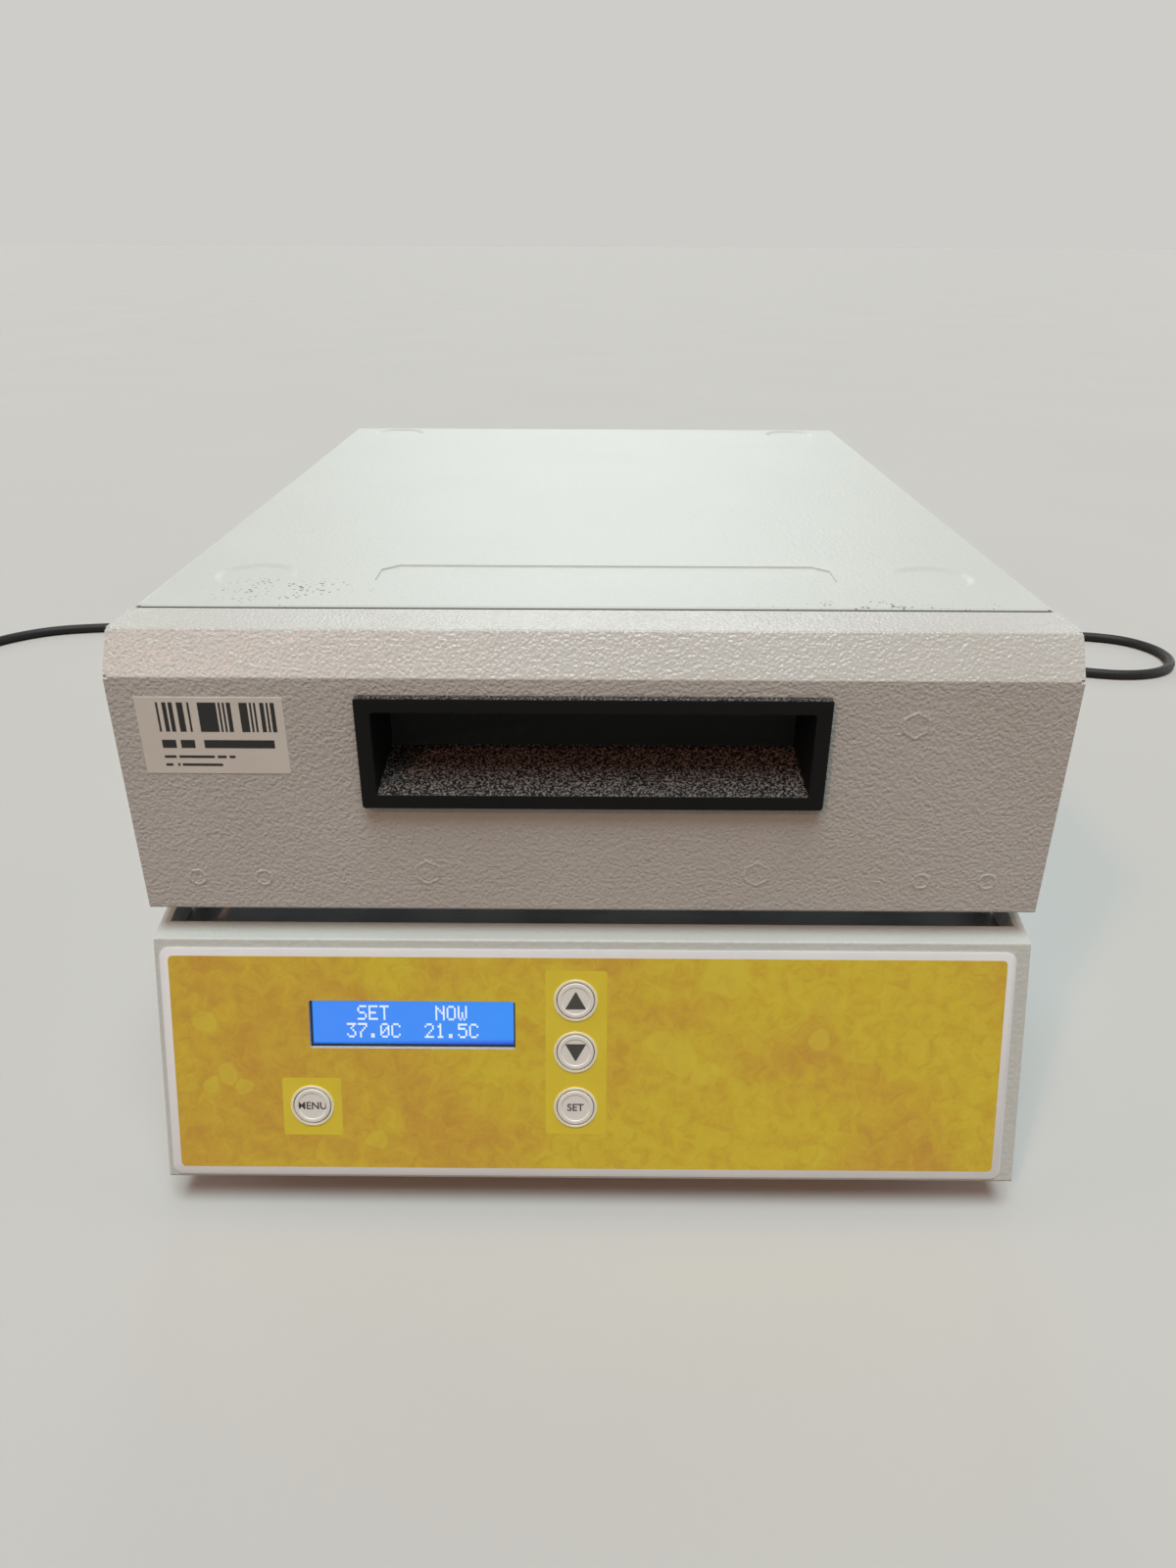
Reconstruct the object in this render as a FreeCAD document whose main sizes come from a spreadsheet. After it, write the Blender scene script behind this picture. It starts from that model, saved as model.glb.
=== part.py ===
"""Bench hybridization oven with a drop-down door, a leaning control panel and its mains lead.

Millimetres, +Z up, the front towards -Y. The origin is on the bench, under the middle of the case.
Sizes holds every size that can be set by itself, and Places holds what follows from them.
"""

import FreeCAD, Part
import math
import os
import re

import Sketcher

Vector = FreeCAD.Vector

SIZES = {
    # Case and its folded sheets
    "case_width": 279.4,
    "case_depth": 376.0,
    "case_height": 180.0,
    "sheet": 1.2,
    "bend_radius": 1.8,
    "edge_radius": 1.0,
    "fit_gap": 0.15,
    "overrun": 5.0,
    "front_flange": 5.0,
    "rear_flange": 10.0,
    "rear_recess": 8.0,
    "relief_radius": 1.3,
    # Feet and the dimples that take the feet of another oven
    "foot_height": 12.0,
    "foot_top_radius": 12.0,
    "foot_radius": 10.5,
    "foot_inset": 27.7,
    "foot_front_y": 64.0,
    "foot_rear_inset": 15.0,
    "foot_well_radius": 5.5,
    "foot_well_depth": 7.0,
    "dimple_radius": 13.5,
    "dimple_floor_radius": 11.5,
    "dimple_depth": 0.9,
    "rib_length": 151.0,
    "rib_width": 19.0,
    "rib_y": 67.0,
    "rib_x": 4.0,
    "rib_slant": 5.4,
    "rib_depth": 0.5,
    # Leaning control panel, its cap and the trough behind the cap
    "panel_rise": 80.0,
    "panel_run": 22.7,
    "panel_lead": 2.1,
    "cap_depth": 7.5,
    "cap_rise": 6.0,
    "cap_border": 3.1,
    "cap_return": 10.0,
    "casing_seam": 0.4,
    "casing_lip": 15.0,
    "tongue_overlap": 8.0,
    "tongue_inset": 12.0,
    "trough_sheet": 1.0,
    "trough_lip": 9.0,
    "trough_lap": 5.0,
    # Door
    "door_sill": 90.0,
    "door_depth": 26.5,
    "door_gap": 2.0,
    "bevel_run": 7.75,
    "bevel_drop": 12.1,
    "axis_behind_face": 6.5,
    "axis_above_edge": 6.0,
    # Chamber
    "frame_sheet": 1.5,
    "wiring_side": 54.7,
    "wiring_sill": 18.0,
    "wiring_drop": 10.0,
    "cavity_side": 21.7,
    "cavity_below_top": 19.3,
    "cavity_rear": 28.8,
    "liner_sheet": 1.0,
    "liner_flange": 5.0,
    "deck_height": 88.0,
    "heater_thickness": 1.5,
    "heater_side": 19.0,
    "heater_end": 33.0,
    "lower_insulation": 14.5,
    "insulation_setback": 9.0,
    "gasket_offset": 1.0,
    "gasket_width": 4.0,
    "gasket_air": 0.3,
    "rail_reach": 9.0,
    "rail_drop_share": 0.148,
    "rail_sheet": 1.2,
    "rail_front": 36.0,
    "rail_low_share": 0.222,
    "rail_step_share": 0.445,
    "probe_radius": 1.6,
    "probe_reach": 42.0,
    "probe_tail": 10.0,
    "probe_side": 59.0,
    "probe_collar_radius": 4.5,
    "probe_collar": 3.0,
    "cutout_radius": 8.0,
    "cutout_depth": 7.5,
    "cutout_tab": 3.0,
    "cutout_tab_spread": 8.0,
    # Hinge
    "hinge_inset": 27.2,
    "arm_thickness": 3.0,
    "arm_half_height": 3.0,
    "arm_eye_radius": 3.2,
    "arm_foot_length": 24.0,
    "arm_foot_width": 12.0,
    "arm_foot_sheet": 2.0,
    "pin_radius": 1.5,
    "pin_play": 0.05,
    "slot_clearance": 0.8,
    "ear_gap": 0.4,
    "ear_thickness": 1.5,
    "leaf_width": 30.0,
    "leaf_height": 16.0,
    "leaf_above_edge": 2.2,
    "leaf_sheet": 1.5,
    "stud_spread": 21.4,
    "stud_above_edge": 11.5,
    "stud_radius": 1.5,
    "stud_length": 6.5,
    "nut_radius": 3.2,
    "nut_height": 2.4,
    # Catches
    "catch_inset": 10.2,
    "catch_width": 6.0,
    "catch_height": 22.0,
    "catch_below_top": 31.0,
    "catch_proud": 0.9,
    "catch_tail": 6.0,
    "strike_width": 10.0,
    "strike_height": 26.0,
    "strike_sheet": 0.8,
    # Inside the door
    "standoff_radius": 3.2,
    "standoff_upper_gap": 19.7,
    "standoff_upper_drop": 25.9,
    "standoff_lower_inset": 88.7,
    "standoff_floor_gap": 4.9,
    "standoff_roof_gap": 3.7,
    "standoff_lower_share": 0.278,
    "door_wool_side": 14.7,
    "door_wool_low": 20.0,
    "door_wool_high": 15.0,
    "screw_radius": 1.5,
    "screw_head_radius": 2.9,
    "screw_head": 1.8,
    "screw_length": 7.0,
    # Pull handle
    "handle_width": 137.2,
    "handle_height": 35.5,
    "handle_below_top": 34.7,
    "bezel_proud": 3.0,
    "bezel_border": 4.6,
    "bezel_chamfer": 1.2,
    "cup_depth": 18.0,
    "cup_wall": 1.6,
    "cup_floor_rise": 7.2,
    "cup_draft": 1.8,
    "cup_lip": 2.0,
    "window_play": 0.3,
    "clip_width": 8.0,
    "clip_height": 14.0,
    "clip_depth": 5.0,
    # White label on the door
    "label_width_share": 0.599,
    "label_height": 24.2,
    "label_thickness": 0.15,
    "label_place_share": 0.592,
    "label_drop": 30.2,
    # Printed overlay, measured up the slope of the panel from its bottom edge
    "overlay_border_left": 1.5,
    "overlay_border_right": 4.3,
    "overlay_height": 78.6,
    "overlay_thickness": 0.35,
    "overlay_rise": 40.9,
    "overlay_corner": 3.2,
    # Display
    "display_inset": 80.4,
    "display_rise": 54.5,
    "view_width": 66.6,
    "view_height": 16.2,
    "lens_thickness": 0.2,
    "lens_margin": 1.2,
    "bezel_width": 71.2,
    "bezel_height": 24.2,
    "bezel_depth": 7.0,
    "bezel_face": 0.7,
    "bezel_wall": 0.6,
    "glass_thickness": 2.8,
    "module_width": 80.0,
    "module_height": 36.0,
    "board_thickness": 1.6,
    "header_height": 2.2,
    "header_length": 40.0,
    # Control board behind the panel
    "board_left_offset": 54.2,
    "board_right_offset": 75.8,
    "board_low": 11.0,
    "board_high": 75.0,
    "board_pillar_radius": 2.5,
    "board_pillar_inset": 4.0,
    # Keys
    "key_right_offset": 52.8,
    "key_left_offset": 33.4,
    "key_up_rise": 63.2,
    "key_down_rise": 45.5,
    "key_low_rise": 26.2,
    "key_radius": 5.9,
    "key_proud": 0.55,
    "key_dish": 0.25,
    "key_dish_radius": 4.7,
    "key_round": 0.35,
    "key_gap": 0.3,
    "key_travel": 0.4,
    "key_flange_radius": 7.0,
    "key_flange": 0.9,
    "key_stem_radius": 2.2,
    "key_ring_radius": 7.1,
    "key_ring_proud": 0.35,
    "switch_side": 6.0,
    "switch_height": 3.4,
    "plunger_radius": 1.7,
    "plunger_height": 1.0,
    # Power electronics on the pan
    "supply_width": 82.0,
    "supply_length": 128.0,
    "supply_height": 38.0,
    "supply_inset": 79.7,
    "supply_y": 60.0,
    "relay_width": 45.0,
    "relay_length": 58.0,
    "relay_height": 24.0,
    "relay_inset": 94.7,
    "relay_y": -70.0,
    "relay_base": 4.0,
    "relay_ear": 8.0,
    "block_width": 46.0,
    "block_length": 18.0,
    "block_height": 15.0,
    "block_inset": 94.7,
    "block_y": -22.0,
    "block_well_radius": 2.6,
    "block_well_depth": 7.5,
    "block_pitch": 9.0,
    # Mains inlet, fuse drawer and switch in the rear panel
    "inlet_inset": 54.7,
    "socket_height": 44.0,
    "inlet_width": 31.0,
    "inlet_below": 13.5,
    "inlet_above": 33.0,
    "inlet_flange": 2.0,
    "inlet_body_width": 28.0,
    "inlet_body_margin": 1.5,
    "inlet_body_depth": 24.0,
    "socket_width": 24.6,
    "socket_tall": 16.6,
    "socket_depth": 16.5,
    "blade_width": 2.0,
    "blade_tall": 4.0,
    "blade_spread": 7.0,
    "blade_offset": 2.0,
    "blade_length": 14.0,
    "blade_tail": 7.0,
    "drawer_width": 20.0,
    "drawer_tall": 12.0,
    "drawer_depth": 21.0,
    "drawer_above_socket": 21.5,
    "drawer_face": 1.2,
    "drawer_rim": 1.0,
    "drawer_play": 0.2,
    "drawer_wall": 1.4,
    "fuse_radius": 2.5,
    "fuse_length": 17.0,
    "fuse_spread": 8.4,
    "switch_inset": 99.7,
    "switch_above_base": 34.0,
    "rocker_frame_width": 19.0,
    "rocker_frame_tall": 26.0,
    "rocker_frame_sheet": 2.0,
    "rocker_width": 11.0,
    "rocker_tall": 17.0,
    "rocker_crown": 1.8,
    "rocker_depth": 6.0,
    "rocker_root": 4.2,
    "rocker_pivot_radius": 1.0,
    "rocker_gap": 0.5,
    "rocker_swing": 1.2,
    "switch_body_depth": 18.0,
    "switch_wall": 1.4,
    # Rear vents
    "vent_width": 3.0,
    "vent_height": 26.0,
    "vent_pitch": 7.5,
    "vent_inset": 64.7,
    "vent_z": 62.0,
    # Screws
    "cover_screw_height": 7.0,
    "cover_screw_front": 40.0,
    "cover_screw_rear": 27.5,
    "cover_screw_radius": 1.5,
    "cover_head_radius": 2.6,
    "cover_head": 1.1,
    "cover_screw_length": 5.0,
    "rear_screw_inset": 5.5,
    "rear_screw_low": 45.0,
    "rear_screw_drop": 45.0,
    "rear_screw_side": 69.7,
    "screw_crown_radius": 1.7,
    "foot_screw_radius": 2.0,
    "screw_play": 0.1,
    "foot_screw_head_radius": 4.0,
    "foot_screw_head": 2.4,
    "foot_screw_length": 10.0,
    # Lead
    "cord_diameter": 7.0,
    "grip_width": 27.0,
    "grip_tall": 20.0,
    "grip_length": 28.0,
    "grip_round": 4.0,
    "insert_play": 0.4,
    "insert_length": 15.0,
    "grip_stand": 0.6,
    "relief_length": 30.0,
    "relief_root_radius": 6.5,
    "relief_tip_radius": 4.6,
    "plug_width": 27.0,
    "plug_tall": 24.0,
    "plug_length": 34.0,
    "plug_blade_length": 17.0,
    "plug_blade_tall": 6.3,
    "plug_blade_thickness": 1.5,
    "plug_blade_spread": 12.7,
    "plug_earth_radius": 2.4,
    "plug_earth_drop": 6.0,
    "coil_radius": 43.0,
    "coil_pitch": 8.0,
    "coil_layer": 7.7,
}

COUNTS = {"vent_count": 11, "cover_screw_count": 3}

# What follows from the sizes. Angles are in degrees, and y grows towards the back.
PLACES = {
    "half_width": "case_width / 2",
    "inner_half": "half_width - sheet",
    "frame_half": "half_width - 2 * sheet - fit_gap",
    "cavity_half": "half_width - cavity_side",
    "foot_x": "half_width - foot_inset",
    "hinge_x": "half_width - hinge_inset",
    "catch_x": "half_width - catch_inset",
    "overlay_width": "case_width - overlay_border_left - overlay_border_right",
    "overlay_x": "(overlay_border_left - overlay_border_right) / 2",
    "display_x": "overlay_x - overlay_width / 2 + display_inset",
    "key_right_x": "display_x + key_right_offset",
    "key_left_x": "display_x - key_left_offset",
    "board_left_x": "display_x - board_left_offset",
    "board_right_x": "display_x + board_right_offset",
    "inlet_x": "half_width - inlet_inset",
    "switch_x": "half_width - switch_inset",
    "vent_x": "-half_width + vent_inset",
    "supply_x": "-half_width + supply_inset",
    "relay_x": "half_width - relay_inset",
    "block_x": "half_width - block_inset",
    "rear_screw_x": "half_width - rear_screw_side",
    "probe_x": "cavity_half - probe_side",
    "front_y": "-(case_depth + panel_run + panel_lead) / 2",
    "face_y": "front_y + panel_run + panel_lead",
    "back_y": "face_y + case_depth",
    "base_z": "foot_height",
    "floor_z": "base_z + sheet",
    "top_z": "base_z + case_height",
    "door_back_y": "face_y + door_depth",
    "wrap_y": "door_back_y + door_gap",
    "frame_y": "wrap_y + sheet",
    "frame_back_y": "frame_y + frame_sheet",
    "rear_y": "back_y - rear_recess - sheet",
    "rear_face_y": "rear_y + sheet",
    # Leaning panel
    "panel_slope": "sqrt(panel_run * panel_run + panel_rise * panel_rise)",
    "panel_tan": "panel_run / panel_rise",
    "lean": "atan(panel_run / panel_rise) / 1 deg",
    "panel_top_y": "front_y + panel_run",
    "panel_top_z": "base_z + panel_rise",
    "cheek_back_y": "wrap_y - casing_seam",
    "cap_slope": "cap_rise / (cheek_back_y - panel_top_y)",
    "face_inset": "sheet * sqrt(1 + panel_tan * panel_tan)",
    "cap_inset": "sheet * sqrt(1 + cap_slope * cap_slope)",
    "cap_corner_run": "(face_inset - panel_tan * cap_inset) / (1 - panel_tan * cap_slope)",
    "return_back_y": "panel_top_y + cap_depth",
    "return_front_y": "return_back_y - sheet",
    "return_low_z": "panel_top_z + cap_slope * cap_depth - cap_return",
    "lip_back_y": "front_y + casing_lip",
    "trough_z": "return_low_z - trough_sheet",
    # Door
    "door_low_z": "base_z + door_sill",
    "bevel_low_z": "top_z - bevel_drop",
    "bevel_back_y": "face_y + bevel_run",
    "bevel_turn": "atan(bevel_run / bevel_drop) / 1 deg",
    "axis_y": "face_y + axis_behind_face",
    "axis_z": "door_low_z + axis_above_edge",
    "skin_y": "face_y + sheet",
    "inner_panel_y": "door_back_y - sheet",
    "inner_panel_half": "inner_half - fit_gap",
    "inner_panel_low_z": "door_low_z + sheet + fit_gap",
    "inner_panel_high_z": "top_z - sheet - fit_gap",
    "wool_low_z": "door_low_z + door_wool_low",
    "wool_high_z": "top_z - door_wool_high",
    # Handle
    "handle_z": "top_z - handle_below_top",
    "mouth_half": "handle_width / 2 - bezel_border",
    "clip_reach": "mouth_half + cup_wall + window_play + clip_width",
    "standoff_upper_x": "clip_reach + standoff_upper_gap",
    "standoff_lower_x": "half_width - standoff_lower_inset",
    "label_room": "half_width - handle_width / 2",
    "label_width": "label_room * label_width_share",
    "label_x": "handle_width / 2 + label_room * label_place_share",
    "mouth_low_z": "handle_z - handle_height / 2 + bezel_border",
    "mouth_high_z": "handle_z + handle_height / 2 - bezel_border",
    "bezel_y": "face_y - bezel_proud",
    "standoff_low_z": "door_low_z + standoff_floor_gap",
    "standoff_high_z": "mouth_low_z - cup_wall - window_play - standoff_roof_gap",
    "standoff_lower_z": "standoff_low_z + (standoff_high_z - standoff_low_z) * standoff_lower_share",
    "cup_back_y": "face_y + cup_depth",
    "cup_top_z": "mouth_high_z + cup_lip",
    # Chamber
    "deck_z": "base_z + deck_height",
    "deck_top_z": "deck_z + sheet",
    "liner_low_z": "deck_top_z + lower_insulation + heater_thickness",
    "cavity_low_z": "liner_low_z + liner_sheet",
    "cavity_high_z": "top_z - cavity_below_top",
    "cavity_height": "cavity_high_z - cavity_low_z",
    "liner_high_z": "cavity_high_z + liner_sheet",
    "wool_roof_z": "top_z - sheet - dimple_depth - fit_gap",
    "liner_half": "cavity_half + liner_sheet",
    "cavity_back_y": "back_y - cavity_rear",
    "liner_back_y": "cavity_back_y + liner_sheet",
    "rear_stop_y": "rear_y - sheet",
    "wool_front_y": "frame_back_y + insulation_setback",
    "gasket_half": "cavity_half + gasket_offset",
    "gasket_low_z": "cavity_low_z - gasket_offset",
    "gasket_high_z": "cavity_high_z + gasket_offset",
    "gasket_front_y": "door_back_y + gasket_air",
    "catch_z": "top_z - catch_below_top",
    # Behind the panel, measured square to it and inwards from its outer face
    "lens_back": "sheet + bezel_face",
    "glass_back": "lens_back + glass_thickness",
    "bezel_back": "sheet + bezel_depth",
    "card_back": "bezel_back + board_thickness",
    "board_front": "card_back + header_height",
    "board_back": "board_front + board_thickness",
    "key_seat": "sheet + key_flange",
    "key_top": "overlay_thickness + key_proud",
    "plunger_tip": "board_front - switch_height - plunger_height",
    "key_stem_tip": "plunger_tip - key_gap - key_travel",
    # Rear
    "socket_z": "socket_height",
    "inlet_face_y": "rear_face_y + inlet_flange",
    "inlet_low_z": "socket_z - inlet_below",
    "inlet_high_z": "socket_z + inlet_above",
    "socket_back_y": "inlet_face_y - socket_depth",
    "inlet_back_y": "rear_face_y - inlet_body_depth",
    "drawer_z": "socket_z + drawer_above_socket",
    "switch_z": "base_z + switch_above_base",
    "rocker_y": "rear_face_y + rocker_frame_sheet",
    "pivot_y": "rocker_y - rocker_depth / 2",
    "switch_body_width": "rocker_width + 2 * rocker_gap + 2 * switch_wall",
    "switch_body_tall": "rocker_tall + 2 * rocker_swing + 2 * switch_wall",
    "grip_y": "inlet_face_y + grip_stand",
    "relief_y": "grip_y + grip_length",
    "lead_start_y": "relief_y + relief_length",
    "cord_radius": "cord_diameter / 2",
    "plug_z": "plug_tall / 2",
}

# The lead's points, each as its distance to the right of the connector's end, its distance behind that end,
# and its height as a share of the connector's height. The lead droops to the bench, swings out to the right,
# turns back behind the oven and comes out on the left. The places are on its centre line.
LEAD_ROUTE = [
    (0.0, 0.0, 1.0),
    (0.0, 30.0, 1.0),
    (5.0, 59.0, 0.753),
    (17.0, 85.0, 0.383),
    (37.0, 107.0, 0.111),
    (65.0, 122.0, 0.0),
    (97.0, 127.0, 0.0),
    (133.0, 121.0, 0.0),
    (171.0, 104.0, 0.0),
    (209.0, 82.0, 0.0),
    (248.0, 64.0, 0.0),
    (283.0, 50.0, 0.0),
    (313.0, 44.0, 0.0),
    (341.0, 51.0, 0.0),
    (359.0, 72.0, 0.0),
    (361.0, 99.0, 0.0),
    (346.0, 123.0, 0.0),
    (317.0, 134.0, 0.0),
    (270.0, 138.0, 0.0),
    (225.0, 145.0, 0.0),
    (177.0, 155.0, 0.0),
    (120.0, 160.0, 0.0),
    (55.0, 156.0, 0.0),
    (-15.0, 146.0, 0.0),
    (-85.0, 142.0, 0.0),
    (-155.0, 146.0, 0.0),
    (-225.0, 156.0, 0.0),
    (-295.0, 162.0, 0.0),
    (-365.0, 158.0, 0.0),
    (-430.0, 148.0, 0.0),
    (-482.0, 144.0, 0.0),
    (-522.0, 137.0, 0.0),
    (-547.0, 122.0, 0.0),
    (-565.0, 101.0, 0.0),
    (-576.0, 76.0, 0.0),
    (-578.0, 50.0, 0.0),
    (-578.0, 31.0, 0.0),
]
ARC_SHARE = 0.45

# The coil winds inwards, climbs one layer, and winds outwards again. It is made in steps of a quarter turn.
COIL_TURN_COUNT = 3
COIL_CLIMB_START_SHARE = 1.0
COIL_CLIMB_SHARE = 0.5
COIL_TURN_BACK_SHARE = 1.25
COIL_STEP_COUNT = 4
TINY_TURN_SHARE = 1e-4
GAP_POINT_COUNT = 4

# Two numbers count as equal when they differ by less than this share.
TINY_SHARE = 1e-6

WORD = re.compile(r"[a-z][a-z0-9_]*")
AXES = {
    "x": (Vector(0, 1, 0), 90, "yz"),
    "y": (Vector(1, 0, 0), -90, "xz"),
    "z": (Vector(0, 0, 1), 0, "xy"),
}

doc = FreeCAD.newDocument("HybridizationOven")
sheet = doc.addObject("Spreadsheet::Sheet", "Sizes")
places = doc.addObject("App::VarSet", "Places")
nodes = []


def fill_sheet():
    """Write each size into its own cell, under its own alias."""
    for row, (name, value) in enumerate({**SIZES, **COUNTS}.items(), start=1):
        sheet.set(f"A{row}", name)
        sheet.set(f"B{row}", str(value))
        sheet.setAlias(f"B{row}", name)
    doc.recompute()


def linked(text, inside=False):
    """Put the sheet's or the set's name before each named value of a formula."""

    def owned(match):
        word = match.group(0)
        if word in SIZES or word in COUNTS:
            return "Sizes." + word
        if word in PLACES and not inside:
            return "Places." + word
        return word

    return WORD.sub(owned, str(text))


def fill_places():
    """Give the set one value for each derived place."""
    for name, text in PLACES.items():
        places.addProperty("App::PropertyFloat", name, "Places")
        places.setExpression(name, linked(text, inside=True))
    doc.recompute()


def value(name):
    """Read one named value as a number."""
    if name in PLACES:
        return float(getattr(places, name))
    return float(getattr(sheet, name))


def bind(item, **formulas):
    """Tie properties to formulas. A double underscore in a name stands for a dot."""
    for name, text in formulas.items():
        item.setExpression(name.replace("__", "."), linked(text))
    return item


def put(item, x="0", y="0", z="0"):
    """Tie an item's place to three formulas."""
    return bind(item, Placement__Base__x=x, Placement__Base__y=y, Placement__Base__z=z)


def span(centre, size):
    """Give the low and high ends of a size laid evenly about a centre."""
    return (f"({centre}) - ({size}) / 2", f"({centre}) + ({size}) / 2")


def set_spans(item, x, y, z):
    """Tie a box to its low and high ends along each axis."""
    bind(item, Length=f"({x[1]}) - ({x[0]})", Width=f"({y[1]}) - ({y[0]})", Height=f"({z[1]}) - ({z[0]})")
    return put(item, x[0], y[0], z[0])


def slab(x, y, z):
    """Make a box from its low and high ends along each axis."""
    return set_spans(doc.addObject("Part::Box", "Slab"), x, y, z)


def set_round(item, axis, centre, ends):
    """Lay a round item along an axis from a low to a high end."""
    turn, angle, across = AXES[axis]
    item.Placement = FreeCAD.Placement(Vector(), FreeCAD.Rotation(turn, angle))
    bind(item, Height=f"({ends[1]}) - ({ends[0]})")
    spots = {across[0]: centre[0], across[1]: centre[1], axis: ends[0]}
    return put(item, **spots)


def rod(axis, radius, centre, ends):
    """Make a cylinder along an axis."""
    item = bind(doc.addObject("Part::Cylinder", "Rod"), Radius=radius)
    return set_round(item, axis, centre, ends)


def taper(axis, radius_low, radius_high, centre, ends):
    """Make a cone's frustum along an axis."""
    item = bind(doc.addObject("Part::Cone", "Taper"), Radius1=radius_low, Radius2=radius_high)
    return set_round(item, axis, centre, ends)


def hexagon(axis, radius, centre, ends):
    """Make a hexagonal prism along an axis, its corners on the radius."""
    item = bind(doc.addObject("Part::Prism", "Hexagon"), Circumradius=radius)
    item.Polygon = 6
    return set_round(item, axis, centre, ends)


def wedge(x, y, z, far_x, far_z):
    """Make a box that tapers along y, from one pair of sides to the other."""
    item = doc.addObject("Part::Wedge", "Wedge")
    bind(item, Xmin=x[0], Xmax=x[1], Ymin=y[0], Ymax=y[1], Zmin=z[0], Zmax=z[1])
    return bind(item, X2min=far_x[0], X2max=far_x[1], Z2min=far_z[0], Z2max=far_z[1])


def joined(*items):
    """Fuse items into one solid."""
    if len(items) == 1:
        return items[0]
    fused = doc.addObject("Part::MultiFuse", "Joined")
    fused.Shapes = list(items)
    fused.Refine = True
    return fused


def without(base, *tools):
    """Cut tools out of a base."""
    cut = doc.addObject("Part::Cut", "Cut")
    cut.Base = base
    cut.Tool = joined(*tools)
    cut.Refine = True
    return cut


def grouped(*items):
    """Keep several separate solids in one group."""
    group = doc.addObject("Part::Compound", "Group")
    group.Links = list(items)
    return group


def softened(item, radius, *tests):
    """Round the edges of a Part item that pass any of the tests."""
    doc.recompute()
    numbers = edge_numbers(item.Shape, tests)
    rounded = doc.addObject("Part::Fillet", "Softened")
    rounded.Base = item
    rounded.Edges = [(number, value(radius), value(radius)) for number in numbers]
    return rounded


def edge_numbers(shape, tests):
    """List the numbers of a shape's edges that pass any of the tests."""
    return [i for i, edge in enumerate(shape.Edges, start=1) if any(test(edge) for test in tests)]


def near(first, second):
    """Tell whether two lengths agree within a small share of the case's width."""
    return abs(first - second) < value("case_width") * TINY_SHARE


def along(axis, **spots):
    """Make a test for straight edges along an axis at the named places."""

    def test(edge):
        if edge.Curve.TypeId != "Part::GeomLine":
            return False
        ends = [vertex.Point for vertex in edge.Vertexes]
        across = [name for name in "xyz" if name != axis]
        if not all(near(getattr(ends[0], name), getattr(ends[1], name)) for name in across):
            return False
        return all(near(getattr(ends[0], name), place) for name, place in spots.items())

    return test


def leaning(item):
    """Stand an item that was built flat on the leaning panel: x across, y up its slope, z outwards."""
    stand = grouped(item)
    stand.Placement = FreeCAD.Placement(Vector(), FreeCAD.Rotation(Vector(1, 0, 0), 1))
    bind(stand, Placement__Rotation__Angle="90 - lean")
    return put(stand, "0", "front_y", "base_z")


def keep(label, item):
    """Name an item as one sub-part of the oven."""
    item.Label = label
    nodes.append(item)
    return item


def keep_shape(label, shape):
    """Keep a shape made here as one sub-part."""
    item = doc.addObject("Part::Feature", "Shape")
    item.Shape = shape
    item.Placement = FreeCAD.Placement()
    return keep(label, item)


def new_body(name):
    """Start a body."""
    return doc.addObject("PartDesign::Body", name)


def outline(body, role, points, offset="0"):
    """Draw a closed outline through places given as formulas, on one of the body's own planes."""
    sketch = body.newObject("Sketcher::SketchObject", "Outline")
    plane = next(item for item in body.Origin.OriginFeatures if item.Role == role)
    sketch.AttachmentSupport = [(plane, "")]
    sketch.MapMode = "FlatFace"
    bind(sketch, AttachmentOffset__Base__z=offset)
    count = len(points)
    turn = 2 * math.pi / count
    seeds = [Vector(math.cos(i * turn), math.sin(i * turn), 0) for i in range(count)]
    for i in range(count):
        sketch.addGeometry(Part.LineSegment(seeds[i], seeds[(i + 1) % count]), False)
    for i in range(count):
        sketch.addConstraint(Sketcher.Constraint("Coincident", i, 2, (i + 1) % count, 1))
    for i, place in enumerate(points):
        for kind, text in zip(("DistanceX", "DistanceY"), place):
            number = sketch.addConstraint(Sketcher.Constraint(kind, -1, 1, i, 1, 1.0))
            sketch.setExpression(f"Constraints[{number}]", linked(text))
    return sketch


def pad(body, sketch, length):
    """Raise an outline evenly to both sides of its plane."""
    feature = body.newObject("PartDesign::Pad", "Pad")
    feature.Profile = sketch
    feature.Midplane = True
    return bind(feature, Length=length)


def pocket(body, sketch, length):
    """Cut an outline evenly to both sides of its plane."""
    feature = body.newObject("PartDesign::Pocket", "Pocket")
    feature.Profile = sketch
    feature.Midplane = True
    return bind(feature, Length=length)


def block(body, kind, x, y, z):
    """Add or take away a box in a body. The kind is Additive or Subtractive."""
    return set_spans(body.newObject(f"PartDesign::{kind}Box", kind + "Box"), x, y, z)


def barrel(body, kind, axis, radius, centre, ends):
    """Add or take away a cylinder in a body."""
    feature = body.newObject(f"PartDesign::{kind}Cylinder", kind + "Cylinder")
    bind(feature, Radius=radius)
    return set_round(feature, axis, centre, ends)


def cone(body, kind, axis, radii, centre, ends):
    """Add or take away a cone's frustum in a body."""
    feature = body.newObject(f"PartDesign::{kind}Cone", kind + "Cone")
    bind(feature, Radius1=radii[0], Radius2=radii[1])
    return set_round(feature, axis, centre, ends)


def rounded(body, radius, *tests):
    """Round the edges of a body that pass any of the tests."""
    doc.recompute()
    tip = body.Tip
    feature = body.newObject("PartDesign::Fillet", "Fillet")
    feature.Base = (tip, [f"Edge{number}" for number in edge_numbers(tip.Shape, tests)])
    return bind(feature, Radius=radius)


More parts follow.
